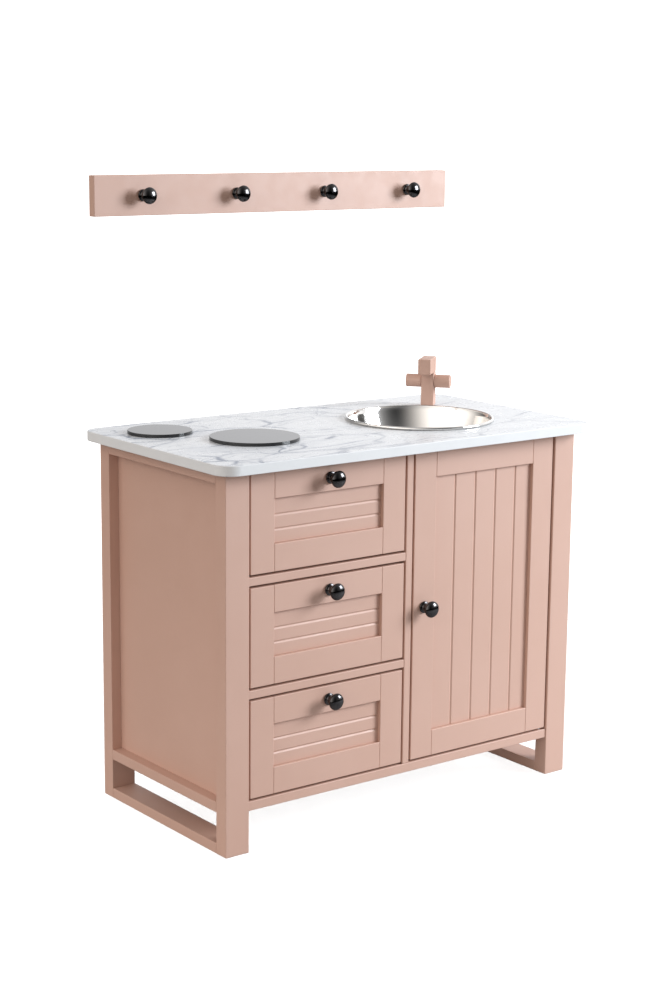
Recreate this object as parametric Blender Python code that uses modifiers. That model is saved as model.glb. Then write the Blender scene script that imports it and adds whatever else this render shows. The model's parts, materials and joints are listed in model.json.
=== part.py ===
"""Toy kitchen: a painted wooden cabinet on two end frames, with three drawers, a door,
a worktop that carries a drop-in bowl, two hob discs and a swivelling tap, and a knob rail
that hangs on the wall behind it.

Metres, +Z up, +X to the right and +Y to the back. The origin is on the floor under the
middle of the worktop.
"""

import math

import bpy

# Overall sizes
WORKTOP_HEIGHT = 0.600
BODY_WIDTH = 0.692
BODY_DEPTH = 0.352
WORKTOP_THICKNESS = 0.016
OVERHANG_SIDE = 0.020
OVERHANG_FRONT = 0.027
WORKTOP_CORNER_RADIUS = 0.030

# End frames
LEG_WIDTH = 0.042
LEG_DEPTH = 0.026
END_TOP_RAIL_HEIGHT = 0.018
END_MID_RAIL_HEIGHT = 0.0165
END_FOOT_RAIL_HEIGHT = 0.0165
UNDERSIDE_HEIGHT = 0.065
SIDE_RECESS = 0.017
SIDE_PANEL_THICKNESS = 0.009
SIDE_GROOVE_DEPTH = 0.005

# Carcass
FRONT_RECESS = 0.002
FRONT_RAIL_DEPTH = 0.018
FRONT_RAIL_HEIGHT = 0.013
BOTTOM_RAIL_HEIGHT = 0.0148
DIVIDER_THICKNESS = 0.0127
FLOOR_THICKNESS = 0.012
BACK_PANEL_THICKNESS = 0.009
BACK_PANEL_INSET = 0.009
STRETCHER_HEIGHT = 0.018
STRETCHER_DEPTH = 0.018
RUNNER_WIDTH = 0.012
RUNNER_HEIGHT = 0.009

# Drawer fronts and door
DRAWER_COUNT = 3
REVEAL = 0.0036
FRONT_THICKNESS = 0.019
PANEL_THICKNESS = 0.013
STILE_WIDTH = 0.043
CROSS_RAIL_WIDTH = 0.042
REBATE = 0.006
GROOVE_WIDTH = 0.005
GROOVE_DEPTH = 0.0015

# Grooves between the boards of a panel, as shares of the window that shows them
DRAWER_FIRST_GROOVE = 0.3006
DRAWER_GROOVE_PITCH = 0.3226
DRAWER_GROOVES = 2
DOOR_FIRST_GROOVE = 0.2133
DOOR_GROOVE_PITCH = 0.2074
DOOR_GROOVES = 4

# Drawer boxes
BOX_WALL = 0.009
BOX_BOTTOM = 0.006
BOX_SIDE_CLEARANCE = 0.002
BOX_TOP_CLEARANCE = 0.0208
BOX_BACK_CLEARANCE = 0.0227
RUN_CLEARANCE = 0.0006

# Door pivots and catch
PIN_RADIUS = 0.0025
PIN_CLEARANCE = 0.0003
PIN_DEPTH = 0.008
PIN_FROM_FRONT = 0.007
PIN_FROM_EDGE = 0.007
CATCH_SIZE = (0.012, 0.018, 0.024)
STRIKE_SIZE = (0.016, 0.0012, 0.024)
CATCH_GAP = 0.0005

# Knobs
KNOB_BASE_RADIUS = 0.0095
KNOB_BASE_HEIGHT = 0.0035
KNOB_WAIST_RADIUS = 0.0052
KNOB_HEAD_RADIUS = 0.0132
KNOB_LENGTH = 0.0265
KNOB_HEAD_LENGTH = 0.0115
KNOB_WIDEST_SHARE = 0.42
KNOB_UNDER_CURVE = ((0.93, 0.45), (0.70, 0.12))
KNOB_BASE_TOP_SHARE = 0.85
KNOB_BASE_FOOT_SHARE = 0.9
KNOB_NECK_FILLET = 0.001
KNOB_WAIST_FILLET = 0.003
KNOB_DOME_STEPS = 5
KNOB_STEPS = 20

# Bowl, with its centre measured from the middle of the cupboard
BOWL_OFFSET_X = -0.0062
BOWL_OFFSET_Y = -0.014
BOWL_RIM_RADIUS = 0.123
BOWL_BEAD_RADIUS = 0.0025
BOWL_BASE_RADIUS = 0.048
BOWL_DEPTH = 0.095
BOWL_WALL = 0.0012
BOWL_SWEEP = math.radians(75)
BOWL_CLEARANCE = 0.0012
BOWL_STEPS = 40
BOWL_RINGS = 9
BEAD_START = math.radians(198)
BEAD_SWEEP = math.radians(261)
BEAD_POINTS = 7

# Hob discs, with their centres measured from the worktop's left, front and back edges
SMALL_DISC_RADIUS = 0.051
SMALL_DISC_FROM_LEFT = 0.086
SMALL_DISC_FROM_BACK = 0.099
LARGE_DISC_RADIUS = 0.070
LARGE_DISC_FROM_LEFT = 0.175
LARGE_DISC_FROM_FRONT = 0.176
DISC_THICKNESS = 0.005
DISC_EDGE = 0.0006
DISC_STEPS = 64

# Tap
TAP_FROM_RIM = 0.035
TAP_BEARING = math.radians(45)
TAP_TURN = math.radians(50)
TAP_WIDTH = 0.022
TAP_POST_HEIGHT = 0.0575
SPOUT_REACH = 0.0437
SPOUT_HEIGHT = 0.026
HANDLE_RADIUS = 0.0113
HANDLE_LENGTH = 0.027
HANDLE_BELOW_SPOUT = 0.0155
ROD_RADIUS = 0.004
ROD_GRIP = 0.012
BOLT_RADIUS = 0.003
BOLT_GRIP = 0.015
BOLT_HEAD_RADIUS = 0.008
BOLT_HEAD_HEIGHT = 0.003
ROUND_STEPS = 24

# Wall rail
RAIL_LENGTH = 0.710
RAIL_HEIGHT = 0.0635
RAIL_THICKNESS = 0.016
RAIL_ABOVE_WORKTOP = 0.3637
RAIL_KNOBS = 4
RAIL_KNOB_PITCH = 0.178

# Shared allowances
FIT = 0.0003
ARRIS = 0.001
ARRIS_ANGLE = math.radians(40)
CORNER_SEGMENTS = 8
CUTTER_EXTRA = 0.005
MERGE_DISTANCE = 0.00001
JOINT_MARK_SIZE = 0.03

# Heights, faces and centres that follow from the sizes above
BODY_HEIGHT = WORKTOP_HEIGHT - WORKTOP_THICKNESS
LEG_OUTER_X = BODY_WIDTH / 2
LEG_INNER_X = LEG_OUTER_X - LEG_WIDTH
BODY_FRONT_Y = -BODY_DEPTH / 2
BODY_BACK_Y = BODY_DEPTH / 2
FACE_Y = BODY_FRONT_Y + FRONT_RECESS
FACE_BACK_Y = FACE_Y + FRONT_THICKNESS
RAIL_BACK_Y = FACE_Y + FRONT_RAIL_DEPTH
BACK_PANEL_Y = BODY_BACK_Y - BACK_PANEL_INSET - BACK_PANEL_THICKNESS
DIVIDER_X = DIVIDER_THICKNESS / 2
STRETCHER_Z = BODY_HEIGHT - STRETCHER_HEIGHT
BOTTOM_RAIL_TOP = UNDERSIDE_HEIGHT + BOTTOM_RAIL_HEIGHT
FRONT_STRETCHER_Y = FACE_BACK_Y + REVEAL
BACK_STRETCHER_Y = BODY_BACK_Y - LEG_DEPTH - STRETCHER_DEPTH
DRAWER_PITCH = (BODY_HEIGHT - BOTTOM_RAIL_TOP + FRONT_RAIL_HEIGHT) / DRAWER_COUNT
DRAWER_SPACE = DRAWER_PITCH - FRONT_RAIL_HEIGHT
DRAWER_HEIGHT = DRAWER_SPACE - 2 * REVEAL
BOX_HEIGHT = DRAWER_SPACE - STRETCHER_HEIGHT - RUN_CLEARANCE - BOX_TOP_CLEARANCE
BOX_FRONT_Y = FACE_BACK_Y + FIT
BOX_BACK_Y = BACK_PANEL_Y - BOX_BACK_CLEARANCE
BOWL_WALL_RADIUS = BOWL_RIM_RADIUS - 2 * BOWL_BEAD_RADIUS
CUTOUT_RADIUS = BOWL_WALL_RADIUS + BOWL_CLEARANCE
BOWL_X = (DIVIDER_X + LEG_INNER_X) / 2 + BOWL_OFFSET_X
BOWL_Y = BOWL_OFFSET_Y
WORKTOP_HALF_X = LEG_OUTER_X + OVERHANG_SIDE
WORKTOP_HALF_Y = BODY_BACK_Y + OVERHANG_FRONT
TAP_DISTANCE = BOWL_RIM_RADIUS + TAP_FROM_RIM
TAP_X = BOWL_X + TAP_DISTANCE * math.cos(TAP_BEARING)
TAP_Y = BOWL_Y + TAP_DISTANCE * math.sin(TAP_BEARING)
RAIL_CENTRE_HEIGHT = WORKTOP_HEIGHT + RAIL_ABOVE_WORKTOP
HINGE_X = LEG_INNER_X - REVEAL - PIN_FROM_EDGE
HINGE_Y = FACE_Y + PIN_FROM_FRONT

PARTS = "toy_kitchen"
CUTTERS = "toy_kitchen_cutters"


def clear_scene():
    """Remove every object that the file starts with."""
    for obj in list(bpy.data.objects):
        bpy.data.objects.remove(obj, do_unlink=True)


def new_collection(name):
    """Make an empty collection in the scene."""
    group = bpy.data.collections.new(name)
    bpy.context.scene.collection.children.link(group)
    return group


def new_material(name, colour, roughness, metallic=0.0):
    """Make a Principled material of one colour."""
    material = bpy.data.materials.new(name)
    material.use_nodes = True
    shader = material.node_tree.nodes["Principled BSDF"]
    shader.inputs["Base Color"].default_value = (*colour, 1.0)
    shader.inputs["Roughness"].default_value = roughness
    shader.inputs["Metallic"].default_value = metallic
    return material


def file_object(obj, name, collection_name):
    """Name an object and keep it in one collection only."""
    obj.name = name
    obj.data.name = name
    for group in list(obj.users_collection):
        group.objects.unlink(obj)
    bpy.data.collections[collection_name].objects.link(obj)
    return obj


def finish_part(obj, name, material):
    """File a finished piece among the parts and give it its own copy of a material."""
    file_object(obj, name, PARTS)
    own = bpy.data.materials[material].copy()
    own.name = f"{name}_{material}"
    obj.data.materials.clear()
    obj.data.materials.append(own)
    return obj


def add_box(low, high):
    """Add a cube stretched from one corner to the other, with its scale applied."""
    centre = [(a + b) / 2 for a, b in zip(low, high)]
    bpy.ops.mesh.primitive_cube_add(size=1, location=centre)
    obj = bpy.context.active_object
    obj.scale = [b - a for a, b in zip(low, high)]
    bpy.ops.object.transform_apply(location=False, rotation=False, scale=True)
    return obj


def add_rod(radius, start_z, end_z, x, y, steps=ROUND_STEPS):
    """Add an upright cylinder between two heights."""
    middle = (x, y, (start_z + end_z) / 2)
    length = end_z - start_z
    bpy.ops.mesh.primitive_cylinder_add(vertices=steps, radius=radius, depth=length, location=middle)
    return bpy.context.active_object


def soften(obj, width=ARRIS, segments=1):
    """Break the sharp edges of a piece with a bevel."""
    bevel = obj.modifiers.new("arris", "BEVEL")
    bevel.width = width
    bevel.segments = segments
    bevel.limit_method = "ANGLE"
    bevel.angle_limit = ARRIS_ANGLE
    return obj


def board(name, low, high, material="paint"):
    """Make a straight board with broken edges."""
    return finish_part(soften(add_box(low, high)), name, material)


def as_cutter(obj, name):
    """File a shape among the cutters."""
    file_object(obj, name, CUTTERS)
    obj.hide_render = True
    obj.display_type = "WIRE"
    return obj


def box_cutter(name, low, high):
    """Make a box that is cut out of other pieces."""
    return as_cutter(add_box(low, high), name)


def rod_cutter(name, radius, start_z, end_z, x, y, steps=ROUND_STEPS):
    """Make an upright cylinder that is cut out of other pieces."""
    return as_cutter(add_rod(radius, start_z, end_z, x, y, steps), name)


def cut(obj, cutter):
    """Cut one shape out of a piece."""
    step = obj.modifiers.new(cutter.name, "BOOLEAN")
    step.operation = "DIFFERENCE"
    step.solver = "EXACT"
    step.object = cutter


def turned(name, profile, steps, material):
    """Turn a profile of (radius, height) points about the upright axis."""
    mesh = bpy.data.meshes.new(name)
    edges = [(i, i + 1) for i in range(len(profile) - 1)]
    mesh.from_pydata([(radius, 0.0, height) for radius, height in profile], edges, [])
    obj = bpy.data.objects.new(name, mesh)
    bpy.context.scene.collection.objects.link(obj)
    screw = obj.modifiers.new("turn", "SCREW")
    screw.angle = math.tau
    screw.steps = steps
    screw.render_steps = steps
    screw.use_merge_vertices = True
    screw.merge_threshold = MERGE_DISTANCE
    screw.use_smooth_shade = True
    return finish_part(obj, name, material)


def hang_on(child, parent):
    """Parent a piece without moving it."""
    bpy.context.view_layer.update()
    child.parent = parent
    child.matrix_parent_inverse = parent.matrix_world.inverted()


def joint_empty(name, x, y, z):
    """Add an empty that marks a moving group's joint."""
    empty = bpy.data.objects.new(name, None)
    empty.location = (x, y, z)
    empty.empty_display_size = JOINT_MARK_SIZE
    bpy.data.collections[PARTS].objects.link(empty)
    return empty


def make_materials():
    """Make the finishes that the pieces copy."""
    new_material("paint", (0.62, 0.42, 0.35), 0.42)
    new_material("worktop", (0.86, 0.87, 0.88), 0.30)
    new_material("steel", (0.62, 0.61, 0.59), 0.12, 1.0)
    new_material("black_nickel", (0.06, 0.06, 0.065), 0.18, 1.0)
    new_material("black_acrylic", (0.02, 0.02, 0.022), 0.10)
    new_material("birch", (0.70, 0.55, 0.36), 0.55)
    new_material("zinc", (0.55, 0.56, 0.58), 0.35, 1.0)
    new_material("catch_plastic", (0.80, 0.79, 0.76), 0.40)


def end_frame(side, sign):
    """Build one end: two legs, three rails between them and the panel in their grooves."""
    inner = sign * LEG_INNER_X
    outer = sign * LEG_OUTER_X
    low_x, high_x = min(inner, outer), max(inner, outer)
    between = BODY_BACK_Y - LEG_DEPTH - FIT
    pieces = []
    for place, start in (("front", BODY_FRONT_Y), ("back", BODY_BACK_Y - LEG_DEPTH)):
        leg = board(f"{side}_{place}_leg", (low_x, start, 0), (high_x, start + LEG_DEPTH, BODY_HEIGHT))
        pieces.append(leg)
    rails = {
        "foot_rail": (0, END_FOOT_RAIL_HEIGHT),
        "mid_rail": (UNDERSIDE_HEIGHT, UNDERSIDE_HEIGHT + END_MID_RAIL_HEIGHT),
        "top_rail": (BODY_HEIGHT - END_TOP_RAIL_HEIGHT, BODY_HEIGHT),
    }
    for rail, (bottom, top) in rails.items():
        pieces.append(board(f"{side}_{rail}", (low_x, -between, bottom), (high_x, between, top)))
    grooved = [piece for piece in pieces if not piece.name.endswith("foot_rail")]
    side_panel(side, sign, grooved)


def side_panel(side, sign, grooved):
    """Set the panel back from the legs' outer faces and let its edges into their grooves."""
    near = sign * (LEG_OUTER_X - SIDE_RECESS)
    far = sign * (LEG_OUTER_X - SIDE_RECESS - SIDE_PANEL_THICKNESS)
    low_x, high_x = min(near, far), max(near, far)
    half_depth = BODY_BACK_Y - LEG_DEPTH + SIDE_GROOVE_DEPTH
    bottom = UNDERSIDE_HEIGHT + END_MID_RAIL_HEIGHT - SIDE_GROOVE_DEPTH
    top = BODY_HEIGHT - END_TOP_RAIL_HEIGHT + SIDE_GROOVE_DEPTH
    groove = box_cutter(
        f"{side}_panel_groove",
        (low_x - FIT, -half_depth - FIT, bottom - FIT),
        (high_x + FIT, half_depth + FIT, top + FIT),
    )
    for piece in grooved:
        cut(piece, groove)
    panel = add_box((low_x, -half_depth, bottom), (high_x, half_depth, top))
    finish_part(panel, f"{side}_side_panel", "paint")


def carcass():
    """Build the floor, back, divider, front rails, stretchers and drawer runners."""
    inner = LEG_INNER_X - FIT
    bottom = BOTTOM_RAIL_TOP
    back = BACK_PANEL_Y
    board("bottom_front_rail", (-inner, FACE_Y, UNDERSIDE_HEIGHT), (inner, RAIL_BACK_Y, bottom))
    board(
        "cabinet_floor",
        (-inner, RAIL_BACK_Y + FIT, bottom - FLOOR_THICKNESS),
        (inner, back - FIT, bottom),
    )
    board(
        "back_panel",
        (-inner, back, UNDERSIDE_HEIGHT),
        (inner, back + BACK_PANEL_THICKNESS, BODY_HEIGHT),
    )
    board(
        "front_stretcher",
        (-inner, FRONT_STRETCHER_Y, STRETCHER_Z),
        (inner, FRONT_STRETCHER_Y + STRETCHER_DEPTH, BODY_HEIGHT),
    )
    board(
        "back_stretcher",
        (-inner, BACK_STRETCHER_Y, STRETCHER_Z),
        (inner, BACK_STRETCHER_Y + STRETCHER_DEPTH, BODY_HEIGHT),
    )
    divider()
    for level, place in enumerate(("lower", "upper"), start=1):
        rail_bottom = bottom + level * DRAWER_PITCH - FRONT_RAIL_HEIGHT
        drawer_rail(place, rail_bottom)


def divider():
    """Build the upright board between the drawers and the cupboard, notched for the stretchers."""
    obj = board(
        "divider",
        (-DIVIDER_X, FACE_Y, BOTTOM_RAIL_TOP + FIT),
        (DIVIDER_X, BACK_PANEL_Y - FIT, BODY_HEIGHT - FIT),
    )
    for place, start in (("front", FRONT_STRETCHER_Y), ("back", BACK_STRETCHER_Y)):
        notch = box_cutter(
            f"{place}_stretcher_notch",
            (-DIVIDER_X - CUTTER_EXTRA, start - FIT, STRETCHER_Z - FIT),
            (DIVIDER_X + CUTTER_EXTRA, start + STRETCHER_DEPTH + FIT, BODY_HEIGHT + CUTTER_EXTRA),
        )
        cut(obj, notch)


def drawer_rail(place, rail_bottom):
    """Build the rail under one drawer front and the two runners that carry its box."""
    left = -LEG_INNER_X + FIT
    right = -DIVIDER_X - FIT
    top = rail_bottom + FRONT_RAIL_HEIGHT
    board(f"{place}_drawer_rail", (left, FACE_Y, rail_bottom), (right, RAIL_BACK_Y, top))
    start = RAIL_BACK_Y + FIT
    end = BACK_PANEL_Y - FIT
    for side, low_x in (("left", left), ("right", right - RUNNER_WIDTH)):
        board(
            f"{place}_{side}_runner",
            (low_x, start, top - RUNNER_HEIGHT),
            (low_x + RUNNER_WIDTH, end, top),
            "birch",
        )


def groove_cutter(name, start, end, along):
    """Make the V groove between two boards of a panel, as a squashed square bar on its edge.

    start and end are the (x, z) points of the groove's line; along is the axis that it follows.
    """
    face_y = FACE_BACK_Y - PANEL_THICKNESS
    length = max(end[0] - start[0], end[1] - start[1]) + 2 * CUTTER_EXTRA
    centre = ((start[0] + end[0]) / 2, face_y, (start[1] + end[1]) / 2)
    bpy.ops.mesh.primitive_cube_add(size=1, location=centre)
    bar = bpy.context.active_object
    side = 1 / math.sqrt(2)
    across = (side, side, length) if along == "Z" else (length, side, side)
    bar.scale = across
    bpy.ops.object.transform_apply(location=False, rotation=False, scale=True)
    bar.rotation_euler = (0, 0, math.radians(45)) if along == "Z" else (math.radians(45), 0, 0)
    bpy.ops.object.transform_apply(location=False, rotation=True, scale=False)
    wide, deep = GROOVE_WIDTH, 2 * GROOVE_DEPTH
    bar.scale = (wide, deep, 1) if along == "Z" else (1, deep, wide)
    bpy.ops.object.transform_apply(location=False, rotation=False, scale=True)
    return as_cutter(bar, name)


def framed_front(name, left, bottom, right, top):
    """Build a framed front: the frame with its window, rebated behind, and return both."""
    frame = board(f"{name}_frame", (left, FACE_Y, bottom), (right, FACE_BACK_Y, top))
    window = (left + STILE_WIDTH, bottom + CROSS_RAIL_WIDTH, right - STILE_WIDTH, top - CROSS_RAIL_WIDTH)
    low_x, low_z, high_x, high_z = window
    opening = box_cutter(
        f"{name}_window",
        (low_x, FACE_Y - CUTTER_EXTRA, low_z),
        (high_x, FACE_BACK_Y + CUTTER_EXTRA, high_z),
    )
    cut(frame, opening)
    rebate = box_cutter(
        f"{name}_rebate",
        (low_x - REBATE, FACE_BACK_Y - PANEL_THICKNESS - FIT, low_z - REBATE),
        (high_x + REBATE, FACE_BACK_Y + CUTTER_EXTRA, high_z + REBATE),
    )
    cut(frame, rebate)
    edge = REBATE - FIT
    panel = add_box(
        (low_x - edge, FACE_BACK_Y - PANEL_THICKNESS, low_z - edge),
        (high_x + edge, FACE_BACK_Y, high_z + edge),
    )
    finish_part(panel, f"{name}_panel", "paint")
    return frame, panel, window


def knob_profile():
    """List the knob's outline from the crown of its head down to its base.

    The head is a flattened dome over a short under-curve, the waist is a hollow
    and the base is a rounded flange.
    """
    neck = KNOB_LENGTH - KNOB_HEAD_LENGTH
    widest = neck + KNOB_HEAD_LENGTH * KNOB_WIDEST_SHARE
    points = [(0.0, KNOB_LENGTH)]
    for step in range(1, KNOB_DOME_STEPS + 1):
        angle = math.pi / 2 * step / KNOB_DOME_STEPS
        dome = (KNOB_LENGTH - widest) * math.cos(angle)
        points.append((KNOB_HEAD_RADIUS * math.sin(angle), widest + dome))
    for share, rise in KNOB_UNDER_CURVE:
        points.append((KNOB_HEAD_RADIUS * share, neck + (widest - neck) * rise))
    points.append((KNOB_WAIST_RADIUS, neck - KNOB_NECK_FILLET))
    points.append((KNOB_WAIST_RADIUS, KNOB_BASE_HEIGHT + KNOB_WAIST_FILLET))
    points.append((KNOB_BASE_RADIUS * KNOB_BASE_TOP_SHARE, KNOB_BASE_HEIGHT))
    points.append((KNOB_BASE_RADIUS, KNOB_BASE_HEIGHT / 2))
    points.append((KNOB_BASE_RADIUS * KNOB_BASE_FOOT_SHARE, 0.0))
    points.append((0.0, 0.0))
    return points


def knob(name, x, face_y, z):
    """Stand a knob on an upright face that looks to the front."""
    obj = turned(name, knob_profile(), KNOB_STEPS, "black_nickel")
    obj.location = (x, face_y - FIT, z)
    obj.rotation_euler = (math.pi / 2, 0, 0)
    return obj


def drawer(number):
    """Build one drawer, counted from the top: framed front, panel, box and knob."""
    name = f"drawer_{number}"
    bottom = BOTTOM_RAIL_TOP + (DRAWER_COUNT - number) * DRAWER_PITCH
    left = -LEG_INNER_X + REVEAL
    right = -DIVIDER_X - REVEAL
    top = bottom + REVEAL + DRAWER_HEIGHT
    frame, panel, window = framed_front(name, left, bottom + REVEAL, right, top)
    low_x, low_z, high_x, high_z = window
    for index in range(DRAWER_GROOVES):
        share = DRAWER_FIRST_GROOVE + index * DRAWER_GROOVE_PITCH
        height = low_z + (high_z - low_z) * share
        groove = groove_cutter(f"{name}_groove_{index + 1}", (low_x, height), (high_x, height), "X")
        cut(panel, groove)
    box = drawer_box(name, bottom + RUN_CLEARANCE)
    handle = knob(f"{name}_knob", (left + right) / 2, FACE_Y, top - CROSS_RAIL_WIDTH / 2)
    slide = joint_empty(f"{name}_slide", (left + right) / 2, FACE_Y, bottom)
    for piece in (frame, panel, box, handle):
        hang_on(piece, slide)


def drawer_box(name, bottom):
    """Build the open box behind a drawer front."""
    left = -LEG_INNER_X + BOX_SIDE_CLEARANCE
    right = -DIVIDER_X - BOX_SIDE_CLEARANCE
    top = bottom + BOX_HEIGHT
    box = board(f"{name}_box", (left, BOX_FRONT_Y, bottom), (right, BOX_BACK_Y, top), "birch")
    hollow = box_cutter(
        f"{name}_hollow",
        (left + BOX_WALL, BOX_FRONT_Y + BOX_WALL, bottom + BOX_BOTTOM),
        (right - BOX_WALL, BOX_BACK_Y - BOX_WALL, top + CUTTER_EXTRA),
    )
    cut(box, hollow)
    return box


def pivot_bores(bottom, top):
    """Make the bores of the two pivots and the pins that stand in them.

    Each pin reaches the same depth into the door and into the board that it faces.
    """
    bores = {}
    levels = {"lower": (BOTTOM_RAIL_TOP, bottom), "upper": (top, BODY_HEIGHT)}
    for place, (under, over) in levels.items():
        reach = PIN_DEPTH + FIT
        bores[place] = rod_cutter(
            f"{place}_pivot_bore",
            PIN_RADIUS + PIN_CLEARANCE,
            under - reach,
            over + reach,
            HINGE_X,
            HINGE_Y,
        )
        pin = add_rod(PIN_RADIUS, under - PIN_DEPTH, over + PIN_DEPTH, HINGE_X, HINGE_Y)
        finish_part(pin, f"{place}_pivot_pin", "zinc")
    return bores


def door():
    """Build the cupboard door, which turns on two pins near its right edge."""
    left = DIVIDER_X + REVEAL
    right = LEG_INNER_X - REVEAL
    bottom = BOTTOM_RAIL_TOP + REVEAL
    top = BODY_HEIGHT - REVEAL
    frame, panel, window = framed_front("door", left, bottom, right, top)
    low_x, low_z, high_x, high_z = window
    for index in range(DOOR_GROOVES):
        share = DOOR_FIRST_GROOVE + index * DOOR_GROOVE_PITCH
        place = low_x + (high_x - low_x) * share
        groove = groove_cutter(f"door_groove_{index + 1}", (place, low_z), (place, high_z), "Z")
        cut(panel, groove)
    bores = pivot_bores(bottom, top)
    for bore in bores.values():
        cut(frame, bore)
    cut(bpy.data.objects["bottom_front_rail"], bores["lower"])
    cut(bpy.data.objects["worktop"], bores["upper"])
    middle = (bottom + top) / 2
    handle = knob("door_knob", left + STILE_WIDTH / 2, FACE_Y, middle)
    strike = catch(middle)
    hinge = joint_empty("door_hinge", HINGE_X, HINGE_Y, middle)
    for piece in (frame, panel, handle, strike):
        hang_on(piece, hinge)


def catch(middle):
    """Build the magnet on the divider and the steel plate on the door, and return the plate."""
    wide, deep, high = CATCH_SIZE
    plate_wide, plate_deep, plate_high = STRIKE_SIZE
    start_x = DIVIDER_X + FIT
    plate_y = FACE_BACK_Y + FIT
    magnet_y = plate_y + plate_deep + CATCH_GAP
    board(
        "magnet_catch",
        (start_x, magnet_y, middle - high / 2),
        (start_x + wide, magnet_y + deep, middle + high / 2),
        "catch_plastic",
    )
    plate_x = DIVIDER_X + REVEAL + FIT
    plate = add_box(
        (plate_x, plate_y, middle - plate_high / 2),
        (plate_x + plate_wide, plate_y + plate_deep, middle + plate_high / 2),
    )
    return finish_part(plate, "door_strike_plate", "zinc")


def worktop():
    """Build the worktop with round corners, the bowl's cut-out and the tap bolt's bore."""
    low = (-WORKTOP_HALF_X, -WORKTOP_HALF_Y, BODY_HEIGHT + FIT)
    obj = add_box(low, (WORKTOP_HALF_X, WORKTOP_HALF_Y, WORKTOP_HEIGHT))
    round_upright_edges(obj, WORKTOP_CORNER_RADIUS)
    soften(obj)
    finish_part(obj, "worktop", "worktop")
    under = BODY_HEIGHT - CUTTER_EXTRA
    over = WORKTOP_HEIGHT + CUTTER_EXTRA
    cut(obj, rod_cutter("bowl_cutout", CUTOUT_RADIUS, under, over, BOWL_X, BOWL_Y, DISC_STEPS))
    cut(obj, rod_cutter("tap_bolt_bore", BOLT_RADIUS + FIT, under, over, TAP_X, TAP_Y))


def round_upright_edges(obj, radius):
    """Round the four upright edges of a box with a weighted bevel."""
    weights = obj.data.attributes.new("bevel_weight_edge", "FLOAT", "EDGE")
    for edge in obj.data.edges:
        first, second = (obj.data.vertices[index].co for index in edge.vertices)
        upright = abs(first.x - second.x) + abs(first.y - second.y) < FIT
        weights.data[edge.index].value = 1.0 if upright else 0.0
    bevel = obj.modifiers.new("corners", "BEVEL")
    bevel.width = radius
    bevel.segments = CORNER_SEGMENTS
    bevel.limit_method = "WEIGHT"


def bowl_wall(radius, base_height):
    """List one face of the bowl's wall, from the flat base up to the worktop's level.

    It is an arc of an ellipse that starts level at the base and stops short of upright, so
    the bowl flares all the way up.
    """
    spread = (radius - BOWL_BASE_RADIUS) / math.sin(BOWL_SWEEP)
    drop = -base_height / (1 - math.cos(BOWL_SWEEP))
    arc = []
    for ring in range(BOWL_RINGS + 1):
        angle = BOWL_SWEEP * ring / BOWL_RINGS
        height = base_height + drop * (1 - math.cos(angle))
        arc.append((BOWL_BASE_RADIUS + spread * math.sin(angle), height))
    return arc


def bowl_profile():
    """List the bowl's outline: up the inside, over the rolled bead and down the outside.

    The bead is an arc of a circle from the inner wall over and round to the outer one.
    """
    inside = bowl_wall(BOWL_WALL_RADIUS - BOWL_WALL, BOWL_WALL - BOWL_DEPTH)
    outside = bowl_wall(BOWL_WALL_RADIUS, -BOWL_DEPTH)
    bead_centre = BOWL_RIM_RADIUS - BOWL_BEAD_RADIUS
    bead = []
    for step in range(1, BEAD_POINTS + 1):
        angle = BEAD_START - BEAD_SWEEP * step / BEAD_POINTS
        radius = bead_centre + BOWL_BEAD_RADIUS * math.cos(angle)
        bead.append((radius, BOWL_BEAD_RADIUS * (1 + math.sin(angle))))
    return [(0.0, inside[0][1])] + inside + bead + outside[::-1] + [(0.0, outside[0][1])]


def bowl():
    """Build the steel bowl, whose bead rests on the worktop round the cut-out."""
    obj = turned("sink_bowl", bowl_profile(), BOWL_STEPS, "steel")
    obj.location = (BOWL_X, BOWL_Y, WORKTOP_HEIGHT + FIT)


def hob_disc(name, x, y, radius):
    """Lay one hob disc on the worktop."""
    bottom = WORKTOP_HEIGHT + FIT
    obj = add_rod(radius, bottom, bottom + DISC_THICKNESS, x, y, DISC_STEPS)
    soften(obj, DISC_EDGE)
    finish_part(obj, name, "black_acrylic")


def turn_about_tap(obj):
    """Turn a piece that was built square on about the tap's upright axis."""
    offset_x = obj.location.x - TAP_X
    offset_y = obj.location.y - TAP_Y
    turn = -TAP_TURN
    obj.location.x = TAP_X + offset_x * math.cos(turn) - offset_y * math.sin(turn)
    obj.location.y = TAP_Y + offset_x * math.sin(turn) + offset_y * math.cos(turn)
    obj.rotation_euler.z += turn


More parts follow.
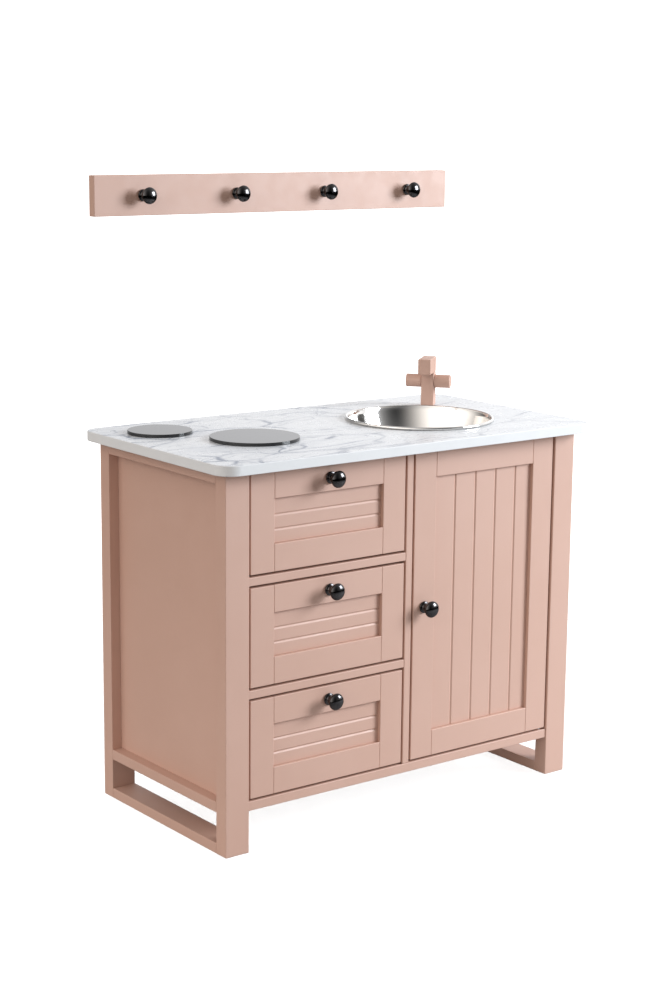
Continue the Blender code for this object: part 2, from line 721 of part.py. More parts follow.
def tap():
    """Build the tap square on, then turn it to face the bowl.

    The post stands on the worktop, the spout lies on the post and the handles share
    a rod through it. A bolt from below holds the post and lets it turn.
    """
    half = TAP_WIDTH / 2
    foot = WORKTOP_HEIGHT + FIT
    post_top = WORKTOP_HEIGHT + TAP_POST_HEIGHT
    axis_z = post_top - HANDLE_BELOW_SPOUT
    post = board("tap_post", (TAP_X - half, TAP_Y - half, foot), (TAP_X + half, TAP_Y + half, post_top))
    spout = board(
        "tap_spout",
        (TAP_X - half, TAP_Y - SPOUT_REACH, post_top + FIT),
        (TAP_X + half, TAP_Y + half, post_top + FIT + SPOUT_HEIGHT),
    )
    bolt_head = BODY_HEIGHT - BOLT_HEAD_HEIGHT
    bolt_top = foot + BOLT_GRIP
    bore_radius = BOLT_RADIUS + FIT
    bolt_bore = rod_cutter("tap_post_bore", bore_radius, foot - CUTTER_EXTRA, bolt_top + FIT, TAP_X, TAP_Y)
    cut(post, bolt_bore)
    bolt_outline = [
        (0.0, bolt_top),
        (BOLT_RADIUS, bolt_top),
        (BOLT_RADIUS, BODY_HEIGHT),
        (BOLT_HEAD_RADIUS, BODY_HEIGHT),
        (BOLT_HEAD_RADIUS, bolt_head),
        (0.0, bolt_head),
    ]
    bolt = turned("tap_bolt", bolt_outline, ROUND_STEPS, "zinc")
    bolt.location = (TAP_X, TAP_Y, 0)
    rod_half = half + ROD_GRIP
    rod = finish_part(level_rod(ROD_RADIUS, -rod_half, rod_half, axis_z), "tap_handle_rod", "zinc")
    bore = level_rod(ROD_RADIUS + FIT, -rod_half - FIT, rod_half + FIT, axis_z)
    as_cutter(bore, "tap_rod_bore")
    cut(post, bore)
    handles = []
    for side, sign in (("left", -1), ("right", 1)):
        near = sign * (half + FIT)
        far = sign * (half + FIT + HANDLE_LENGTH)
        handle = level_rod(HANDLE_RADIUS, min(near, far), max(near, far), axis_z)
        finish_part(soften(handle), f"tap_{side}_handle", "paint")
        cut(handle, bore)
        handles.append(handle)
    for piece in (post, spout, bolt, bolt_bore, rod, bore, *handles):
        turn_about_tap(piece)
    swivel = joint_empty("tap_swivel", TAP_X, TAP_Y, foot)
    for piece in (post, spout, bolt, rod, *handles):
        hang_on(piece, swivel)


def level_rod(radius, start, end, z):
    """Add a cylinder that lies across the tap, measured from the tap's axis."""
    length = end - start
    centre = (TAP_X + (start + end) / 2, TAP_Y, z)
    bpy.ops.mesh.primitive_cylinder_add(
        vertices=ROUND_STEPS, radius=radius, depth=length, location=centre
    )
    obj = bpy.context.active_object
    obj.rotation_euler = (0, math.pi / 2, 0)
    bpy.ops.object.transform_apply(location=False, rotation=True, scale=False)
    return obj


def wall_rail():
    """Build the rail that hangs on the wall behind the kitchen, with its row of knobs."""
    left = WORKTOP_HALF_X - RAIL_LENGTH
    front = WORKTOP_HALF_Y - RAIL_THICKNESS
    half = RAIL_HEIGHT / 2
    board(
        "wall_rail",
        (left, front, RAIL_CENTRE_HEIGHT - half),
        (WORKTOP_HALF_X, WORKTOP_HALF_Y, RAIL_CENTRE_HEIGHT + half),
    )
    first = left + (RAIL_LENGTH - (RAIL_KNOBS - 1) * RAIL_KNOB_PITCH) / 2
    for index in range(RAIL_KNOBS):
        knob(f"rail_knob_{index + 1}", first + index * RAIL_KNOB_PITCH, front, RAIL_CENTRE_HEIGHT)


def main():
    """Build the whole kitchen."""
    clear_scene()
    new_collection(PARTS)
    new_collection(CUTTERS)
    make_materials()
    end_frame("left", -1)
    end_frame("right", 1)
    carcass()
    worktop()
    for number in range(1, DRAWER_COUNT + 1):
        drawer(number)
    door()
    bowl()
    small_x = SMALL_DISC_FROM_LEFT - WORKTOP_HALF_X
    hob_disc("small_hob_disc", small_x, WORKTOP_HALF_Y - SMALL_DISC_FROM_BACK, SMALL_DISC_RADIUS)
    large_x = LARGE_DISC_FROM_LEFT - WORKTOP_HALF_X
    hob_disc("large_hob_disc", large_x, LARGE_DISC_FROM_FRONT - WORKTOP_HALF_Y, LARGE_DISC_RADIUS)
    tap()
    wall_rail()


main()
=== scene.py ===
"""The looks of the toy kitchen: fine surfaces round the fixed frame, their finishes, and a studio.

Metres, +Z up, +X to the right and +Y to the back, with the origin on the floor under the
middle of the worktop. Every board, knob and bowl is a surface worked out as whole arrays: an
outline with rounded corners that is carried along an axis or turned about one. Sizes and places
come from the frame's boxes and joints.
"""
import json
import logging
import math
from dataclasses import dataclass
from enum import Enum

import bpy
import numpy as np
from mathutils import Matrix, Vector


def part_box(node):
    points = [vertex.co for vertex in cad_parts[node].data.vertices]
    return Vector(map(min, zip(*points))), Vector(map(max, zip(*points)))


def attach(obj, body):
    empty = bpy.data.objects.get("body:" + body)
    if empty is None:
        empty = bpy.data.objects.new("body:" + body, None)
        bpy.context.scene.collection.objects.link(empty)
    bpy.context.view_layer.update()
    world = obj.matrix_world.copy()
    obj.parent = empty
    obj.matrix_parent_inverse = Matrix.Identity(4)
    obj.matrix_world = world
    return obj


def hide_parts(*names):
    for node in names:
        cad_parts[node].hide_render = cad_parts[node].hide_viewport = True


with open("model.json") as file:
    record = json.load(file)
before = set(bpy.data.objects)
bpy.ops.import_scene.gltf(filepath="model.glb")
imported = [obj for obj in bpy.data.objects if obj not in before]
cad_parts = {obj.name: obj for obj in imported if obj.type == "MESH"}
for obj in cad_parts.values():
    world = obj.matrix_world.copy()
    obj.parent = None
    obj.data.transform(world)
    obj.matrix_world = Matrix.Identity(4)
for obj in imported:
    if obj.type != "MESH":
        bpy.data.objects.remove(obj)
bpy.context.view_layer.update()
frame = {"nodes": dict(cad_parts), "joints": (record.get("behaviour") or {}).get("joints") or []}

WELD_DISTANCE = 1e-7
QUARTER = math.pi / 2
NOISE_RANGE = (0.3, 0.7)
log = logging.getLogger("toy_kitchen")


class Axis(Enum):
    """The axis that an outline is carried along, as the order that sends (u, v, w) to (x, y, z)."""

    X = (2, 0, 1)
    Y = (1, 2, 0)
    Z = (0, 1, 2)


class Slot(Enum):
    """The record's material slots."""

    PAINT = "paint"
    WORKTOP = "worktop"
    STEEL = "steel"
    BLACK_NICKEL = "black_nickel"
    BLACK_ACRYLIC = "black_acrylic"
    BIRCH = "birch"
    ZINC = "zinc"
    CATCH_PLASTIC = "catch_plastic"


# ---------------------------------------------------------------------------------------------
# Surfaces
# ---------------------------------------------------------------------------------------------


@dataclass(frozen=True)
class Outline:
    """A line in a plane, walked anticlockwise round the solid, with outward normals.

    Args:
        points: One row (u, v) a point.
        normals: One outward unit normal a point.
    """

    points: np.ndarray
    normals: np.ndarray

    def resampled(self, step: float) -> "Outline":
        """Add points along the straight stretches of a closed outline.

        Stations lie every step along the line, besides the points that are already there, and
        each new point and normal is a straight blend of its two neighbours.

        Args:
            step: The longest distance between two points.

        Returns:
            The same outline with more points.
        """
        loop = np.vstack((self.points, self.points[:1]))
        facing = np.vstack((self.normals, self.normals[:1]))
        travelled = np.concatenate(([0.0], np.cumsum(np.linalg.norm(np.diff(loop, axis=0), axis=1))))
        stations = np.union1d(travelled, np.arange(0.0, travelled[-1], step))[:-1]
        points = np.stack([np.interp(stations, travelled, loop[:, i]) for i in (0, 1)], axis=-1)
        normals = np.stack([np.interp(stations, travelled, facing[:, i]) for i in (0, 1)], axis=-1)
        return Outline(points, unit(normals))


@dataclass
class Surface:
    """A closed surface as whole arrays.

    Args:
        points: One row a point.
        normals: One outward unit normal a point.
        faces: Arrays of faces, each with its own number of corners.
        tags: For each array of faces, the finish number of every face.
        grain: For each point, its place along, across and through the board, or zeros.
    """

    points: np.ndarray
    normals: np.ndarray
    faces: list[np.ndarray]
    tags: list[np.ndarray]
    grain: np.ndarray | None = None

    def moved(self, turn: np.ndarray, shift: np.ndarray) -> "Surface":
        """Turn the surface by a rotation matrix, then shift it."""
        points, normals = self.points @ turn.T + shift, self.normals @ turn.T
        return Surface(points, normals, self.faces, self.tags, self.grain)

    def tagged(self, number: int) -> "Surface":
        """Give every face one finish number."""
        tags = [np.full(len(group), number) for group in self.faces]
        return Surface(self.points, self.normals, self.faces, tags, self.grain)

    def grained(self, along: Axis, through: Axis) -> "Surface":
        """Note where each point lies along, across and through a board of wood.

        Args:
            along: The axis of the grain.
            through: The axis of the board's thickness.

        Returns:
            The same surface with its grain places, measured from its middle.
        """
        names = [axis.name for axis in (Axis.X, Axis.Y, Axis.Z)]
        first, last = names.index(along.name), names.index(through.name)
        middle = (self.points.min(axis=0) + self.points.max(axis=0)) / 2
        places = (self.points - middle)[:, [first, 3 - first - last, last]]
        places[:, :2] += middle[[first, 3 - first - last]]
        return Surface(self.points, self.normals, self.faces, self.tags, places)


def unit(vectors: np.ndarray) -> np.ndarray:
    """Scale vectors to length one."""
    return vectors / np.linalg.norm(vectors, axis=-1, keepdims=True)


def filleted(
    corners: list | np.ndarray, radius: float | list, steps: int = 3, closed: bool = True
) -> Outline:
    """Round the corners of a line with arcs.

    A corner that turns by t gets an arc of radius r that starts r tan(t / 2) before it. The
    normal turns evenly from that of the side before to that of the side after, and a point of
    the arc is its centre plus r times the normal, or minus where the corner is hollow.

    Args:
        corners: One row (u, v) a corner, anticlockwise round the solid.
        radius: One radius, or one a corner.
        steps: How many straight steps make an arc.
        closed: Whether the last corner joins the first.

    Returns:
        The rounded outline.
    """
    corner = np.asarray(corners, float)
    into = unit(corner - np.roll(corner, 1, axis=0))
    out = unit(np.roll(corner, -1, axis=0) - corner)
    if not closed:
        into[0], out[-1] = out[0], into[-1]
    turn = np.arctan2(into[:, 0] * out[:, 1] - into[:, 1] * out[:, 0], (into * out).sum(axis=1))
    reach = np.sign(turn) * np.broadcast_to(np.asarray(radius, float), turn.shape)
    back = np.abs(reach) * np.tan(np.abs(turn) / 2)
    normal = np.stack((into[:, 1], -into[:, 0]), axis=-1)
    centre = corner - into * back[:, None] - normal * reach[:, None]
    angle = turn[:, None] * np.linspace(0.0, 1.0, steps + 1)
    cos, sin = np.cos(angle), np.sin(angle)
    first, second = normal[:, :1], normal[:, 1:]
    facing = np.stack((first * cos - second * sin, first * sin + second * cos), axis=-1)
    points = centre[:, None] + reach[:, None, None] * facing
    return Outline(points.reshape(-1, 2), facing.reshape(-1, 2))


def smooth(points: list | np.ndarray, per_span: int) -> Outline:
    """Draw a smooth open line through points, as a spline of cubic spans.

    Each span is the cubic that meets its two ends with slopes taken from their neighbours
    (Catmull and Rom's rule). The normal is the line's direction turned a quarter clockwise.

    Args:
        points: One row (u, v) a point.
        per_span: How many straight steps make a span.

    Returns:
        The smooth outline.
    """
    given = np.asarray(points, float)
    padded = np.vstack((2 * given[0] - given[1], given, 2 * given[-1] - given[-2]))
    share = np.linspace(0.0, 1.0, per_span, endpoint=False)[:, None]
    before, start, end, after = (padded[i:len(padded) - 3 + i, None] for i in range(4))
    line = 0.5 * (
        2 * start
        + (end - before) * share
        + (2 * before - 5 * start + 4 * end - after) * share**2
        + (3 * start - before - 3 * end + after) * share**3
    )
    line = np.vstack((line.reshape(-1, 2), given[-1:]))
    along = unit(np.gradient(line, axis=0))
    return Outline(line, np.stack((along[:, 1], -along[:, 0]), axis=-1))


def grid_faces(rows: int, columns: int, ring: bool = False) -> np.ndarray:
    """List the quads of a grid whose columns close on themselves.

    Args:
        rows: How many rows of points there are.
        columns: How many points a row holds.
        ring: Whether the last row joins the first.

    Returns:
        One row of four point numbers a quad.
    """
    row = np.arange(rows if ring else rows - 1)[:, None]
    column = np.arange(columns)[None, :]
    after, beside = (row + 1) % rows, (column + 1) % columns
    near, far = row * columns, after * columns
    corners = (near + column, near + beside, far + beside, far + column)
    return np.stack(np.broadcast_arrays(*corners), axis=-1).reshape(-1, 4)


def welded(surface: Surface) -> Surface:
    """Merge points that coincide and drop the faces and corners that this closes up.

    Args:
        surface: The surface, whose coinciding points have one normal.

    Returns:
        The same surface with every point once.
    """
    keys = np.round(surface.points / WELD_DISTANCE).astype(np.int64)
    _, kept, number = np.unique(keys, axis=0, return_index=True, return_inverse=True)
    number = number.reshape(-1)
    faces, tags = [], []
    for group, tag in zip(surface.faces, surface.tags):
        group = number[group]
        twice = group == np.roll(group, -1, axis=1)
        if len(group) == 1:
            faces.append(group[:, ~twice[0]])
            tags.append(tag)
            continue
        whole, pinched = twice.sum(axis=1) == 0, twice.sum(axis=1) == 1
        start = np.argmax(twice[pinched], axis=1)[:, None] + 1
        three = np.take_along_axis(group[pinched], (start + np.arange(3)) % 4, axis=1)
        faces += [group[whole], three]
        tags += [tag[whole], tag[pinched]]
    pairs = [(group, tag) for group, tag in zip(faces, tags) if len(group)]
    grain = None if surface.grain is None else surface.grain[kept]
    return Surface(
        surface.points[kept],
        surface.normals[kept],
        [group for group, _ in pairs],
        [tag for _, tag in pairs],
        grain,
    )


def joined(*surfaces: Surface) -> Surface:
    """Put several surfaces into one, each with its own points."""
    starts = np.cumsum([0] + [len(surface.points) for surface in surfaces])
    faces = [group + start for surface, start in zip(surfaces, starts) for group in surface.faces]
    tags = [tag for surface in surfaces for tag in surface.tags]
    grains = [np.zeros_like(s.points) if s.grain is None else s.grain for s in surfaces]
    points = np.vstack([surface.points for surface in surfaces])
    normals = np.vstack([surface.normals for surface in surfaces])
    return Surface(points, normals, faces, tags, np.vstack(grains))


def prism(
    outline: Outline, start: float, end: float, edge: float, axis: Axis, steps: int = 3
) -> Surface:
    """Carry an outline along an axis and round the edges at both ends.

    With the angle a from 0 to 90 degrees, a row lies edge (1 - cos a) in from the end, its
    outline is drawn in by edge (1 - sin a), and its normal leans over by cos a. The two end
    rows are closed by flat faces.

    Args:
        outline: The closed outline across the axis.
        start: Where the solid starts on the axis.
        end: Where it ends.
        edge: The radius of its end edges, at most that of the outline's corners.
        axis: The axis.
        steps: How many straight steps make an edge's arc.

    Returns:
        The closed surface.
    """
    angle = np.linspace(0.0, QUARTER, steps + 1)
    rise, lean = edge * (1 - np.cos(angle)), np.cos(angle)
    drawn_in = edge * (1 - np.sin(angle))
    inset = np.concatenate((drawn_in, drawn_in[::-1]))[:, None, None]
    along = np.concatenate((start + rise, (end - rise)[::-1]))[:, None, None]
    axial = np.concatenate((-lean, lean[::-1]))[:, None, None]
    flat = np.sqrt(1 - axial**2)
    shape = (len(inset), len(outline.points), 1)
    section = outline.points[None] - outline.normals[None] * inset
    points = np.concatenate((section, np.broadcast_to(along, shape)), axis=2)
    normals = np.concatenate((outline.normals[None] * flat, np.broadcast_to(axial, shape)), axis=2)
    count = shape[1]
    last = (shape[0] - 1) * count + np.arange(count)
    sides = grid_faces(shape[0], count)
    faces = [sides, np.arange(count)[None, ::-1], last[None]]
    tags = [np.zeros(len(group), int) for group in faces]
    order = list(axis.value)
    points, normals = points.reshape(-1, 3)[:, order], normals.reshape(-1, 3)[:, order]
    return welded(Surface(points, normals, faces, tags))


def block(low: Vector | tuple, high: Vector | tuple, edge: float, steps: int = 3) -> Surface:
    """Make a straight board between two corners, with every edge rounded."""
    rectangle = [(low[0], low[1]), (high[0], low[1]), (high[0], high[1]), (low[0], high[1])]
    return prism(filleted(rectangle, edge, steps), low[2], high[2], edge, Axis.Z, steps)


def turned(outline: Outline, steps: int, ring: bool = False) -> Surface:
    """Turn an outline of (radius, height) about the upright axis.

    Args:
        outline: From the axis out, up and back to the axis, or a closed line beside it.
        steps: How many straight steps go round.
        ring: Whether the outline closes on itself.

    Returns:
        The closed surface.
    """
    angle = np.arange(steps) * math.tau / steps
    spin = np.stack((np.cos(angle), np.sin(angle)), axis=-1)[None]
    shape = (len(outline.points), steps, 1)
    points, normals = (
        np.concatenate((line[:, :1, None] * spin, np.broadcast_to(line[:, 1:, None], shape)), axis=2)
        for line in (outline.points, outline.normals)
    )
    on_axis = np.abs(outline.points[:, 0]) < WELD_DISTANCE
    normals[on_axis] = np.array((0.0, 0.0, 1.0)) * np.sign(outline.normals[on_axis, 1])[:, None, None]
    faces = grid_faces(shape[0], steps, ring)
    tags = [np.zeros(len(faces), int)]
    return welded(Surface(points.reshape(-1, 3), normals.reshape(-1, 3), [faces], tags))


def facing_front(surface: Surface, place: tuple) -> Surface:
    """Lay an upright turned surface down to look to the front, with its foot at a place."""
    turn = np.array(((1.0, 0.0, 0.0), (0.0, 0.0, -1.0), (0.0, 1.0, 0.0)))
    return surface.moved(turn, np.array(place, float))


def make_object(name: str, surface: Surface, materials: list) -> bpy.types.Object:
    """Put a surface into a mesh object at the origin.

    Args:
        name: The object's name.
        surface: The finished surface.
        materials: One material a finish number.

    Returns:
        The object, smooth shaded with the surface's own normals.
    """
    mesh = bpy.data.meshes.new(name)
    corners = np.concatenate([group.ravel() for group in surface.faces]).astype(np.int32)
    sizes = np.concatenate([np.full(len(group), group.shape[1]) for group in surface.faces])
    mesh.vertices.add(len(surface.points))
    mesh.vertices.foreach_set("co", surface.points.astype(np.float32).ravel())
    mesh.loops.add(len(corners))
    mesh.loops.foreach_set("vertex_index", corners)
    mesh.polygons.add(len(sizes))
    starts = (np.cumsum(sizes) - sizes).astype(np.int32)
    mesh.polygons.foreach_set("loop_start", starts)
    mesh.polygons.foreach_set("material_index", np.concatenate(surface.tags).astype(np.int32))
    mesh.update(calc_edges=True)
    mesh.polygons.foreach_set("use_smooth", np.ones(len(sizes), bool))
    if surface.grain is not None:
        places = mesh.attributes.new("grain_place", "FLOAT_VECTOR", "POINT")
        places.data.foreach_set("vector", surface.grain.astype(np.float32).ravel())
    for material in materials:
        mesh.materials.append(material)
    mesh.normals_split_custom_set_from_vertices(surface.normals.astype(np.float32))
    piece = bpy.data.objects.new(name, mesh)
    bpy.context.scene.collection.objects.link(piece)
    return piece


# ---------------------------------------------------------------------------------------------
# Finishes
# ---------------------------------------------------------------------------------------------


class Graph:
    """One material's node tree, with short ways to add nodes and join them."""

    def __init__(self, name: str) -> None:
        """Start a material with only its shader and its output."""
        self.material = bpy.data.materials.new(name)
        self.material.use_nodes = True
        self.tree = self.material.node_tree
        self.shader = self.tree.nodes["Principled BSDF"]
        self.place = self.add("ShaderNodeTexCoord").outputs["Object"]

    def add(self, kind: str, **settings: object) -> bpy.types.Node:
        """Add a node and set its own settings."""
        node = self.tree.nodes.new(kind)
        for key, value in settings.items():
            setattr(node, key, value)
        return node

    def feed(self, node: bpy.types.Node, **values: object) -> bpy.types.Node:
        """Set or link a node's inputs by name, with spaces written as underscores."""
        for key, value in values.items():
            self.join(value, node.inputs[key.replace("_", " ")])
        return node

    def join(self, value: object, socket: bpy.types.NodeSocket) -> None:
        """Link an output to a socket, or set the socket's value."""
        if isinstance(value, bpy.types.NodeSocket):
            self.tree.links.new(value, socket)
        else:
            socket.default_value = value

    def math(self, operation: str, *values: object, clamp: bool = False) -> bpy.types.NodeSocket:
        """Work out one number from others."""
        node = self.add("ShaderNodeMath", operation=operation, use_clamp=clamp)
        for value, socket in zip(values, node.inputs):
            self.join(value, socket)
        return node.outputs[0]

    def vector(self, operation: str, first: object, second: object = None) -> bpy.types.Node:
        """Work out a vector from one or two others."""
        node = self.add("ShaderNodeVectorMath", operation=operation)
        self.join(first, node.inputs[0])
        if second is not None:
            self.join(second, node.inputs[1])
        return node

    def noise(
        self, scale: float, detail: float = 2.0, place: object = None, **settings: float
    ) -> bpy.types.NodeSocket:
        """Add fractal noise and return its value, which stays about one half.

        Args:
            scale: How many of its largest patches fit in a metre.
            detail: How many finer layers it has.
            place: Where it is read, or None for the piece's own places.
            settings: Other inputs of the node.

        Returns:
            The noise.
        """
        node = self.add("ShaderNodeTexNoise")
        where = self.place if place is None else place
        self.feed(node, Vector=where, Scale=scale, Detail=detail, **settings)
        return node.outputs["Fac"]

    def cloud(
        self, scale: float, detail: float = 2.0, start: float = 0.0, end: float = 1.0
    ) -> bpy.types.NodeSocket:
        """Spread noise's usual range over the range from start to end."""
        return self.spread(self.noise(scale, detail), *NOISE_RANGE, start, end)

    def spread(
        self, value: object, low: float, high: float, start: float = 0.0, end: float = 1.0
    ) -> bpy.types.NodeSocket:
        """Send the range from low to high smoothly to the range from start to end."""
        node = self.add("ShaderNodeMapRange", interpolation_type="SMOOTHSTEP")
        self.feed(node, Value=value, From_Min=low, From_Max=high, To_Min=start, To_Max=end)
        return node.outputs["Result"]

    def mix(self, share: object, first: object, second: object) -> bpy.types.NodeSocket:
        """Mix two colours."""
        node = self.add("ShaderNodeMix", data_type="RGBA")
        self.join(share, node.inputs["Factor"])
        for key, value in (("A", first), ("B", second)):
            socket = next(s for s in node.inputs if s.name == key and s.type == "RGBA")
            self.join((*value, 1.0) if isinstance(value, tuple) else value, socket)
        return next(s for s in node.outputs if s.type == "RGBA")

    def bump(
        self, height: object, strength: float, distance: float, normal: object = None
    ) -> bpy.types.NodeSocket:
        """Turn a height into a normal, on top of another relief's normal if one is given."""
        node = self.add("ShaderNodeBump")
        self.feed(node, Height=height, Strength=strength, Distance=distance)
        if normal is not None:
            self.join(normal, node.inputs["Normal"])
        return node.outputs["Normal"]

    def dress(self, **values: object) -> bpy.types.Material:
        """Set or link the shader's inputs and return the material."""
        self.feed(self.shader, **values)
        return self.material


@dataclass(frozen=True)
class SatinPaint:
    """Sprayed satin paint on smooth wood: faint clouds of tone and a fine orange-peel skin.

    A relief is a pair, its strength and its depth in metres.
    """

    colour: tuple = (0.572, 0.352, 0.272)
    warm: tuple = (0.552, 0.334, 0.254)
    roughness: tuple = (0.50, 0.58)
    gloss: float = 1.0
    cloud_scale: float = 5.0
    patch_scale: float = 40.0
    skin_scale: float = 380.0
    skin_relief: tuple = (0.10, 0.0004)
    fleck_scale: float = 1300.0
    fleck_relief: tuple = (0.08, 0.0002)

    def material(self) -> bpy.types.Material:
        """Make the paint."""
        graph = Graph("dusty_pink_paint")
        tone = graph.mix(graph.cloud(self.cloud_scale, detail=3.0), self.warm, self.colour)
        relief = graph.bump(graph.noise(self.skin_scale), *self.skin_relief)
        relief = graph.bump(graph.noise(self.fleck_scale, detail=1.0), *self.fleck_relief, relief)
        rough = graph.cloud(self.patch_scale, 2.0, *self.roughness)
        return graph.dress(
            Base_Color=tone, Roughness=rough, Normal=relief, Specular_IOR_Level=self.gloss
        )


@dataclass(frozen=True)
class MarbleLaminate:
    """Printed marble under a satin lacquer: soft grey clouds and a net of fine blue-grey veins.

    There are two kinds of vein. Cracks run along the borders of a warped honeycomb, and long
    lines lie where warped noise crosses one half. Both fade with the distance from there.
    Clusters fade the veins in and out, and they crowd to the left, round the hob.

    Args:
        ground: The colour of the plain ground.
        cloud: The colour of the soft clouds.
        vein: The colour of the veins.
        gloss: How strongly the lacquer reflects.
        roughness: The lacquer's smoothest and its roughest.
        lean: How far the pattern is turned from the worktop's length.
        stretch: How the pattern is stretched along and across that way.
        broad_warp: The scale and the reach, in metres, of the large bends.
        fine_warp: The same of the small bends.
        crowd_scale: How fine the clusters are.
        crowd_slope: How much the clusters gain with each metre to the right.
        crowd_range: From where to where a cluster's veins come in, and their strengths there.
        crack_scale: How fine the honeycomb is.
        crack_width: How far a crack fades from its border.
        crack_depth: How dark a crack is.
        break_scale: How fine the gaps along the cracks are.
        break_range: From where to where the gaps close.
        lines: The scale, width and darkness of each set of long lines.
        halo_width: How far a grey halo spreads from the cracks.
        halo_range: From where to where the clusters have halos, and their strengths there.
        haze_scale: How fine the clouds are.
        haze_range: From where to where the clouds come in, and their strengths there.
        patch_scale: How fine the lacquer's smoother and rougher patches are.
        skin_scale: How fine the lacquer's skin is.
        skin_relief: The strength and the depth of that skin.
    """

    ground: tuple = (0.718, 0.724, 0.734)
    cloud: tuple = (0.585, 0.600, 0.630)
    vein: tuple = (0.150, 0.180, 0.245)
    gloss: float = 0.25
    roughness: tuple = (0.26, 0.34)
    lean: float = math.radians(-32)
    stretch: tuple = (0.62, 1.15, 1.0)
    broad_warp: tuple = (5.0, 0.16)
    fine_warp: tuple = (21.0, 0.028)
    crowd_scale: float = 5.0
    crowd_slope: float = -0.30
    crowd_range: tuple = (0.36, 0.58, 0.30, 1.0)
    crack_scale: float = 8.5
    crack_width: float = 0.040
    crack_depth: float = 0.90
    break_scale: float = 17.0
    break_range: tuple = (0.34, 0.62)
    lines: tuple = ((4.2, 0.006, 0.60), (9.0, 0.007, 0.50), (19.0, 0.010, 0.34))
    halo_width: float = 0.20
    halo_range: tuple = (0.42, 0.66, 0.0, 0.5)
    haze_scale: float = 7.0
    haze_range: tuple = (0.48, 0.72, 0.0, 0.9)
    patch_scale: float = 60.0
    skin_scale: float = 900.0
    skin_relief: tuple = (0.05, 0.0002)

    def warped(self, graph: Graph, place: object, scale: float, reach: float) -> bpy.types.NodeSocket:
        """Push the places about by a coloured noise, up to half the reach each way."""
        noise = graph.add("ShaderNodeTexNoise")
        graph.feed(noise, Vector=place, Scale=scale, Detail=2.0, Roughness=0.5)
        centred = graph.vector("SUBTRACT", noise.outputs["Color"], (0.5, 0.5, 0.5)).outputs[0]
        push = graph.add("ShaderNodeVectorMath", operation="SCALE")
        graph.join(centred, push.inputs[0])
        push.inputs["Scale"].default_value = reach
        return graph.vector("ADD", place, push.outputs[0]).outputs[0]

    def line(self, graph: Graph, place: object, scale: float, width: float) -> bpy.types.NodeSocket:
        """Draw long lines where a smooth noise crosses one half."""
        value = graph.noise(scale, 1.5, place, Roughness=0.45)
        off = graph.math("ABSOLUTE", graph.math("SUBTRACT", value, 0.5))
        return graph.spread(off, 0.0, width, 1.0, 0.0)

    def net(self, graph: Graph, place: object, width: float) -> bpy.types.NodeSocket:
        """Draw a net along the borders of the honeycomb, which fades out over a width."""
        crack = graph.add("ShaderNodeTexVoronoi", feature="DISTANCE_TO_EDGE")
        graph.feed(crack, Vector=place, Scale=self.crack_scale)
        return graph.spread(crack.outputs["Distance"], 0.0, width, 1.0, 0.0)

    def veins(self, graph: Graph, place: object) -> bpy.types.NodeSocket:
        """Draw the broken cracks and the long lines, whichever is darker."""
        gaps = graph.spread(graph.noise(self.break_scale, detail=3.0), *self.break_range)
        depth = graph.math("MULTIPLY", gaps, self.crack_depth)
        veins = graph.math("MULTIPLY", self.net(graph, place, self.crack_width), depth)
        for scale, width, depth in self.lines:
            line = graph.math("MULTIPLY", self.line(graph, place, scale, width), depth)
            veins = graph.math("MAXIMUM", veins, line)
        return veins

    def material(self) -> bpy.types.Material:
        """Make the laminate."""
        graph = Graph("marble_laminate")
        lie = graph.add("ShaderNodeMapping")
        graph.feed(lie, Vector=graph.place, Rotation=(0.0, 0.0, self.lean), Scale=self.stretch)
        broad = self.warped(graph, lie.outputs[0], *self.broad_warp)
        fine = self.warped(graph, broad, *self.fine_warp)
        parts = graph.add("ShaderNodeSeparateXYZ")
        graph.join(graph.place, parts.inputs[0])
        left = graph.math("MULTIPLY", parts.outputs["X"], self.crowd_slope)
        crowd = graph.math("ADD", graph.noise(self.crowd_scale, 2.0, broad), left)
        strong = graph.spread(crowd, *self.crowd_range)
        veins = graph.math("MULTIPLY", self.veins(graph, fine), strong)
        halo_share = graph.spread(crowd, *self.halo_range)
        halo = graph.math("MULTIPLY", self.net(graph, fine, self.halo_width), halo_share)
        haze = graph.noise(self.haze_scale, 5.0, fine, Roughness=0.6)
        haze = graph.math("MULTIPLY", graph.spread(haze, *self.haze_range), strong)
        tone = graph.mix(graph.math("MAXIMUM", halo, haze), self.ground, self.cloud)
        tone = graph.mix(veins, tone, self.vein)
        rough = graph.cloud(self.patch_scale, 2.0, *self.roughness)
        relief = graph.bump(graph.noise(self.skin_scale), *self.skin_relief)
        return graph.dress(
            Base_Color=tone, Roughness=rough, Normal=relief, Specular_IOR_Level=self.gloss
        )


